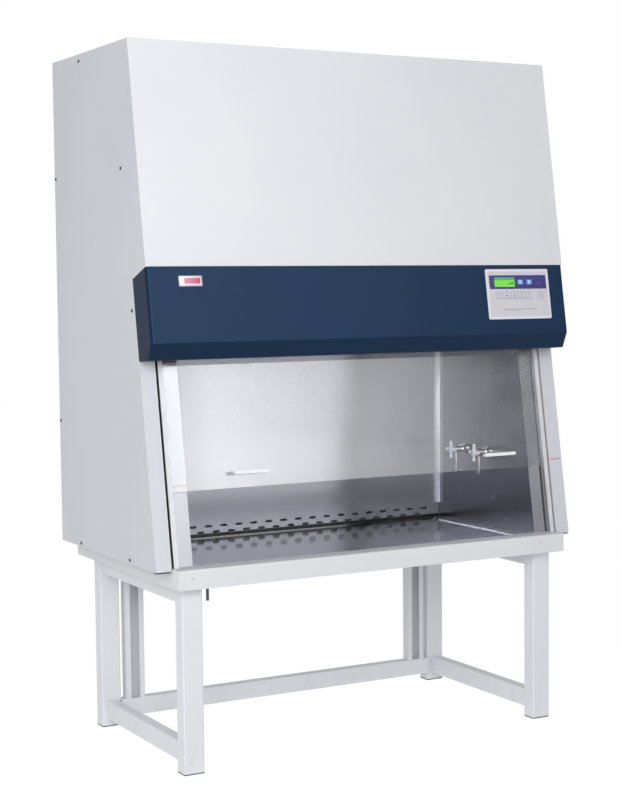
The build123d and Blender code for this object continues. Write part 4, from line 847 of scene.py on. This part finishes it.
GUARD_MIDDLE = Vector((0.380, 0.129, 1.972))
GUARD_ACROSS, GUARD_BACK = 0.19, 0.14
guard_screws = bmesh.new()
for side in (-1, 1):
    for end in (-1, 1):
        corner = GUARD_MIDDLE + Vector((side * GUARD_ACROSS, end * GUARD_BACK, 0.0))
        screw_head(guard_screws, corner, UPWARD, SMALL_RADIUS, FLAT_HEIGHT)
piece("guard_screws", guard_screws, "cabinet", bright_steel)
perforated = satin_steel("guard_steel", (4.0, 800.0, 800.0), (0.60, 0.61, 0.64), 0.3)
dress(perforated, "exhaust_guard")

# %% [markdown]
# ## Lamp tubes
# A fluorescent tube is coated glass with an aluminium cap at each end. The tube's glass is the CAD node.
# Each cap is a short spun cup that grips the end of the tube, so the light and the ultraviolet lamp both
# read as lamps and not as white rods.

# %% Lamp caps
tube_glass = Finish("lamp_glass", Emission_Strength=0.25, Coat_Weight=0.4)
phosphor = tube_glass.noise(400.0, 2.0)
burnt = (1.0 - (0.45 - abs(tube_glass.x)) / 0.05).clamp()
tube_tone = tube_glass.mix(burnt * 0.5, rgb(240, 240, 236), rgb(176, 172, 164))
dress(tube_glass.feed(
    Base_Color=tube_tone, Emission_Color=tube_tone, Roughness=0.3 + phosphor * 0.12,
), "lamp_tubes")

LAMP_Z = 1.134
UV_RADIUS, UV_HALF = 0.008, 0.300
WHITE_RADIUS, WHITE_HALF = 0.013, 0.450
CUP_STEPS = 24
caps = bmesh.new()
low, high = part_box("lamp_tubes")
uv_row = (high[1] - UV_RADIUS, UV_RADIUS, UV_HALF)
white_row = (low[1] + WHITE_RADIUS, WHITE_RADIUS, WHITE_HALF)
for back, radius, half in (uv_row, white_row):
    for side in (-1, 1):
        cup = (
            (radius * 1.01, 0.0), (radius * 1.07, 0.0005), (radius * 1.07, 0.014), (radius * 1.02, 0.016),
            (radius * 1.01, 0.016), (radius * 1.01, 0.0),
        )
        spun(cup, Vector((side * half, back, LAMP_Z)), side * LEFTWARD, CUP_STEPS, caps)
piece("lamp_caps", caps, "cabinet", satin_aluminium)

# %% [markdown]
# ## Cables
# On each side a steel cable runs from the sash rail up the slope, over a pulley and down to a weight. When
# the sash moves, one run grows as the other shrinks. The front and rear runs are fixed in place, and the
# bend over the pulley rides on the cabinet. The strands are a twisted six-sided section, made by turning
# each ring as it is extruded.

# %% A stranded cable
CABLE_SIDE, CABLE_RADIUS = 0.622, 0.001
PULLEY_RADIUS, PULLEY_Z = 0.030, 1.85
PULLEY_RIM, BEND_STEPS = 0.034, 16
FRONT_RINGS, REAR_RINGS, RING_TWIST = 120, 80, 0.35
PULLEY_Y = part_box("left_pulley")[0][1] + PULLEY_RIM
WEIGHT_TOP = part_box("left_counterweight")[1][2]
RAIL_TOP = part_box("sash_top_rail")[1][2]
cable_steel = turned_metal("cable_strand", (0.45, 0.45, 0.46), 0.35)


def strand(points):
    """A cable through a row of points: a hexagon carried along them and twisted as it goes."""
    mesh = bmesh.new()
    ring = bmesh.ops.create_circle(mesh, segments=6, radius=CABLE_RADIUS, cap_ends=True)["verts"]
    heading = (points[1] - points[0]).normalized()
    turn = heading.to_track_quat("Z", "X").to_matrix()
    bmesh.ops.rotate(mesh, verts=ring, cent=(0, 0, 0), matrix=turn)
    bmesh.ops.translate(mesh, verts=ring, vec=points[0])
    face = mesh.faces[:][0]
    for before, after in zip(points, points[1:]):
        following = (after - before).normalized()
        new = bmesh.ops.extrude_discrete_faces(mesh, faces=[face])["faces"][0]
        swing = heading.rotation_difference(following).to_matrix()
        twist = Matrix.Rotation(RING_TWIST, 3, following)
        bmesh.ops.translate(mesh, verts=new.verts, vec=after - before)
        bmesh.ops.rotate(mesh, verts=new.verts, cent=after, matrix=twist @ swing)
        face, heading = new, following
    return mesh


def between(start, end, count):
    """Evenly spaced points from one end of a run to the other."""
    return [start.lerp(end, step / count) for step in range(count + 1)]


print("pulley", round(PULLEY_Y, 3), "weight top", round(WEIGHT_TOP, 3), "rail top", round(RAIL_TOP, 3))

# %% [markdown]
# The CAD has both cables in one node, drawn at rest. The three runs on each side take its place: the bend
# says so, and the two straight runs are fixed in place.

# %% Cables on both sides
def on_pulley(middle, angle):
    """A point on the pulley's groove, by its angle from straight ahead, up and over to the back."""
    return middle + Vector((0.0, -cos(angle), sin(angle))) * PULLEY_RADIUS


for side, sign in (("left", -1), ("right", 1)):
    middle = Vector((sign * CABLE_SIDE, PULLEY_Y, PULLEY_Z))
    arrive, leave = on_pulley(middle, LEAN), middle + Vector((0.0, PULLEY_RADIUS, 0.0))
    rail_point = arrive - UP_SLOPE * ((arrive.z - RAIL_TOP) / cos(LEAN))
    weight_point = Vector((leave.x, leave.y, WEIGHT_TOP))
    bend = [on_pulley(middle, LEAN + (pi - LEAN) * step / BEND_STEPS) for step in range(BEND_STEPS + 1)]
    front_run = strand(between(rail_point, arrive, FRONT_RINGS))
    rear_run = strand(between(leave, weight_point, REAR_RINGS))
    front = piece(f"{side}_cable_front", front_run, None, cable_steel)
    rear = piece(f"{side}_cable_rear", rear_run, None, cable_steel)
    bend_run = strand(bend)
    piece(f"{side}_cable_bend", bend_run, "cabinet", cable_steel, replaces=["sash_cables"])
    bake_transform(front)
    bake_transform(rear)

# %% [markdown]
# ## Valve trim
# A laboratory cock has more turned detail than its CAD solid: a hexagon nut behind the rosette, a collar
# under the handle, a coloured disc on the handle's hub and ball ends on its arms. Each is a spun profile.
# The disc and the balls ride with the handle, so they turn with it.

# %% Cock nuts, discs and ball ends
COCK_X, HUB_X, COLLAR_X, NUT_X, COCK_Z = 0.559, 0.551, 0.575, 0.606, 0.780
COCKS = (("front_cock", -0.001), ("rear_cock", 0.129))
ARM_END, BALL_RADIUS, BALL_DETAIL = 0.023, 0.0056, 3
COLLAR = (
    (0.0105, 0.0), (0.0135, 0.0015), (0.0135, 0.0055), (0.0105, 0.007), (0.0098, 0.0035), (0.0105, 0.0),
)
HEXAGON = (
    (0.0102, 0.0), (0.0155, 0.0), (0.0160, 0.001), (0.0160, 0.006), (0.0150, 0.0075), (0.0102, 0.0075),
    (0.0102, 0.0),
)
DISC = ((0.0058, 0.0), (0.0056, 0.0009), (0.0048, 0.0014), (0.0, 0.0016))
COLLAR_STEPS, NUT_SIDES, DISC_STEPS = 28, 6, 24

disc_paint = moulded("cock_disc", rgb(176, 184, 200), 0.25, 900.0, 0.00002, 0.1)
for carrier, cock_y in COCKS:
    nuts = bmesh.new()
    spun(COLLAR, Vector((COLLAR_X, cock_y, COCK_Z)), LEFTWARD, COLLAR_STEPS, nuts)
    spun(HEXAGON, Vector((NUT_X, cock_y, COCK_Z)), LEFTWARD, NUT_SIDES, nuts)
    piece(f"{carrier}_nuts", nuts, "cabinet", plated)
    balls = bmesh.new()
    for along in (UPWARD, -UPWARD, -FRONTWARD, FRONTWARD):
        end = Matrix.Translation(Vector((COCK_X, cock_y, COCK_Z)) + along * ARM_END)
        bmesh.ops.create_icosphere(balls, subdivisions=BALL_DETAIL, radius=BALL_RADIUS, matrix=end)
    piece(f"{carrier}_ball_ends", balls, f"{carrier}_top", cock_plastic)
    disc = spun(DISC, Vector((HUB_X, cock_y, COCK_Z)), LEFTWARD, DISC_STEPS)
    piece(f"{carrier}_disc", disc, f"{carrier}_top", disc_paint)

# %% [markdown]
# ## The floor
# The cabinet stands in a white room. What the camera sees, also through the glass, is plain white, and
# what a shiny surface mirrors is a duller room, or steel would have no contrast. The Light Path node tells
# the two apart: a ray that has bounced off a glossy surface has a glossy depth of one or more. The floor is
# part white light and part real floor, so a faint shadow of the cabinet stays on it.

# %% Floor
FLOOR_REACH = 14.0
FLOOR_WHITE, FLOOR_SEEN, FLOOR_MIRRORED, FLOOR_BOUNCED = 1.06, 0.90, 0.61, 0.37


def views(rays):
    """Light Path masks: what the camera sees, also through glass, and what a shiny surface mirrors."""
    direct = rays["Glossy Depth"] < 0.5
    seen = (rays["Is Camera Ray"] + rays["Is Transmission Ray"]).clamp() * direct
    mirrored = (rays["Is Glossy Ray"] + rays["Is Transmission Ray"]).clamp() * (1.0 - direct)
    return seen, mirrored


floor_mesh = bmesh.new()
bmesh.ops.create_grid(floor_mesh, x_segments=1, y_segments=1, size=FLOOR_REACH)
floor_data = bpy.data.meshes.new("floor")
floor_mesh.to_mesh(floor_data)
floor_mesh.free()
floor = bpy.data.objects.new("floor", floor_data)
bpy.context.scene.collection.objects.link(floor)
ground = Finish("studio_floor", Roughness=0.9)
ground.feed(Base_Color=ground.mix(ground.noise(2.0), (0.84, 0.84, 0.84, 1.0), (0.80, 0.80, 0.81, 1.0)))
rays = ground.outputs(ground.node("ShaderNodeLightPath"))
white = ground.node("ShaderNodeEmission", {0: (1.0, 1.0, 1.0, 1.0), 1: FLOOR_WHITE})
seen, mirrored = views(rays)
share = seen * FLOOR_SEEN + mirrored * FLOOR_MIRRORED + rays["Is Diffuse Ray"] * FLOOR_BOUNCED
paint = Wire(ground, ground.shader.outputs[0])
lit_floor = ground.node("ShaderNodeMixShader", {0: share, 1: paint, 2: white})
ground.put(ground.tree.nodes["Material Output"].inputs["Surface"], lit_floor)
floor_data.materials.append(ground.material)
print("floor", 2 * FLOOR_REACH, "m across")

# %% [markdown]
# ## The room that steel mirrors
# The look of polished sheet is the look of what it mirrors. Here that is a dim room, a bright panel at the
# user's side with a narrow dip in it, a dark flag at the right and a glow along the horizon. Each is a mask
# of the direction in which a ray leaves: X to the right, Y to the rear and Z up. The panel is weaker in a
# second mirroring, which keeps the corners of the chamber calm.

# %% World
ROOM_LIGHT, ROOM_SEEN, ROOM_MIRRORED = 0.52, 1.0, 0.48
PANEL_MIRRORED, PANEL_AGAIN = 5.2, 0.15
PANEL_SIDE, PANEL_LOW, PANEL_HIGH, PANEL_FADE = 0.58, 0.02, 0.75, 0.15
DIP_MIDDLE, DIP_WIDTH, DIP_SHARE = 0.395, 0.035, 0.55
FLAG_LEFT, FLAG_FADE, FLAG_SHARE = 0.545, 0.03, 0.9
HORIZON_BAND, HORIZON_GLOW = 0.12, 0.3

room = bpy.data.worlds.new("room")
room.use_nodes = True
bpy.context.scene.world = room
sky = Bench(room.node_tree)
direction = sky.node("ShaderNodeTexCoord", output="Generated")
way = sky.outputs(sky.node("ShaderNodeSeparateXYZ", {0: direction}))
from_right = ((PANEL_SIDE - way["X"]) / PANEL_FADE).clamp()
from_left = ((way["X"] + PANEL_SIDE) / PANEL_FADE).clamp()
from_below = ((way["Z"] - PANEL_LOW) / PANEL_FADE).clamp()
from_above = ((PANEL_HIGH - way["Z"]) / PANEL_FADE).clamp()
in_front = way["Y"] < 0.0
dip = (1.0 - abs(way["X"] - DIP_MIDDLE) / DIP_WIDTH).clamp() * DIP_SHARE
panel = from_right * from_left * from_below * from_above * in_front * (1.0 - dip)
flag = ((way["X"] - FLAG_LEFT) / FLAG_FADE).clamp() * in_front * (way["Z"] > 0.0) * FLAG_SHARE
horizon = (1.0 - abs(way["Z"]) / HORIZON_BAND).clamp() * HORIZON_GLOW

rays = sky.outputs(sky.node("ShaderNodeLightPath"))
seen, mirrored = views(rays)
first = rays["Is Glossy Ray"] * (rays["Glossy Depth"] < 1.5)
panel_light = panel * PANEL_MIRRORED * (PANEL_AGAIN + first * (1.0 - PANEL_AGAIN))
reflection = (ROOM_MIRRORED + horizon) * (1.0 - flag) + panel_light
strength = ROOM_LIGHT + mirrored * (reflection - ROOM_LIGHT) + seen * (ROOM_SEEN - ROOM_LIGHT)
background = sky.tree.nodes["Background"]
background.inputs["Color"].default_value = (1.0, 1.0, 1.0, 1.0)
sky.put(background.inputs["Strength"], strength)
print("room with", len(sky.tree.nodes), "nodes")

# %% [markdown]
# ## Studio lamps
# Two large square lamps stand at the user's side, and more of the light comes from the left. They light the
# paint and stay out of reflections, where the panel of the room takes their place.

# %% Studio lamps
def soft_lamp(name, at, aim, size, watts):
    """A large square lamp at a place, aimed at a point."""
    lamp = bpy.data.objects.new(name, bpy.data.lights.new(name, "AREA"))
    bpy.context.scene.collection.objects.link(lamp)
    lamp.data.size = size
    lamp.data.energy = watts
    lamp.visible_glossy = False
    lamp.visible_camera = False
    lamp.location = at
    lamp.rotation_euler = (Vector(aim) - Vector(at)).to_track_quat("-Z", "Y").to_euler()


soft_lamp("front_lamp", (-2.4, -3.9, 2.4), (-0.2, 0.0, 1.1), 2.0, 82.0)
soft_lamp("left_lamp", (-4.6, -2.4, 2.2), (-0.4, 0.0, 1.0), 2.4, 46.0)
bpy.context.scene.view_settings.view_transform = "Standard"
print("lamps", [light.name for light in bpy.data.lights])

# %% [markdown]
# ## Close the scene
# The last cell names every CAD node that has no finish.

# %% Nodes without a finish
unfinished = sorted(set(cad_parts) - set(finishes) - {"sash_cables"})
print("nodes without a finish:", unfinished)
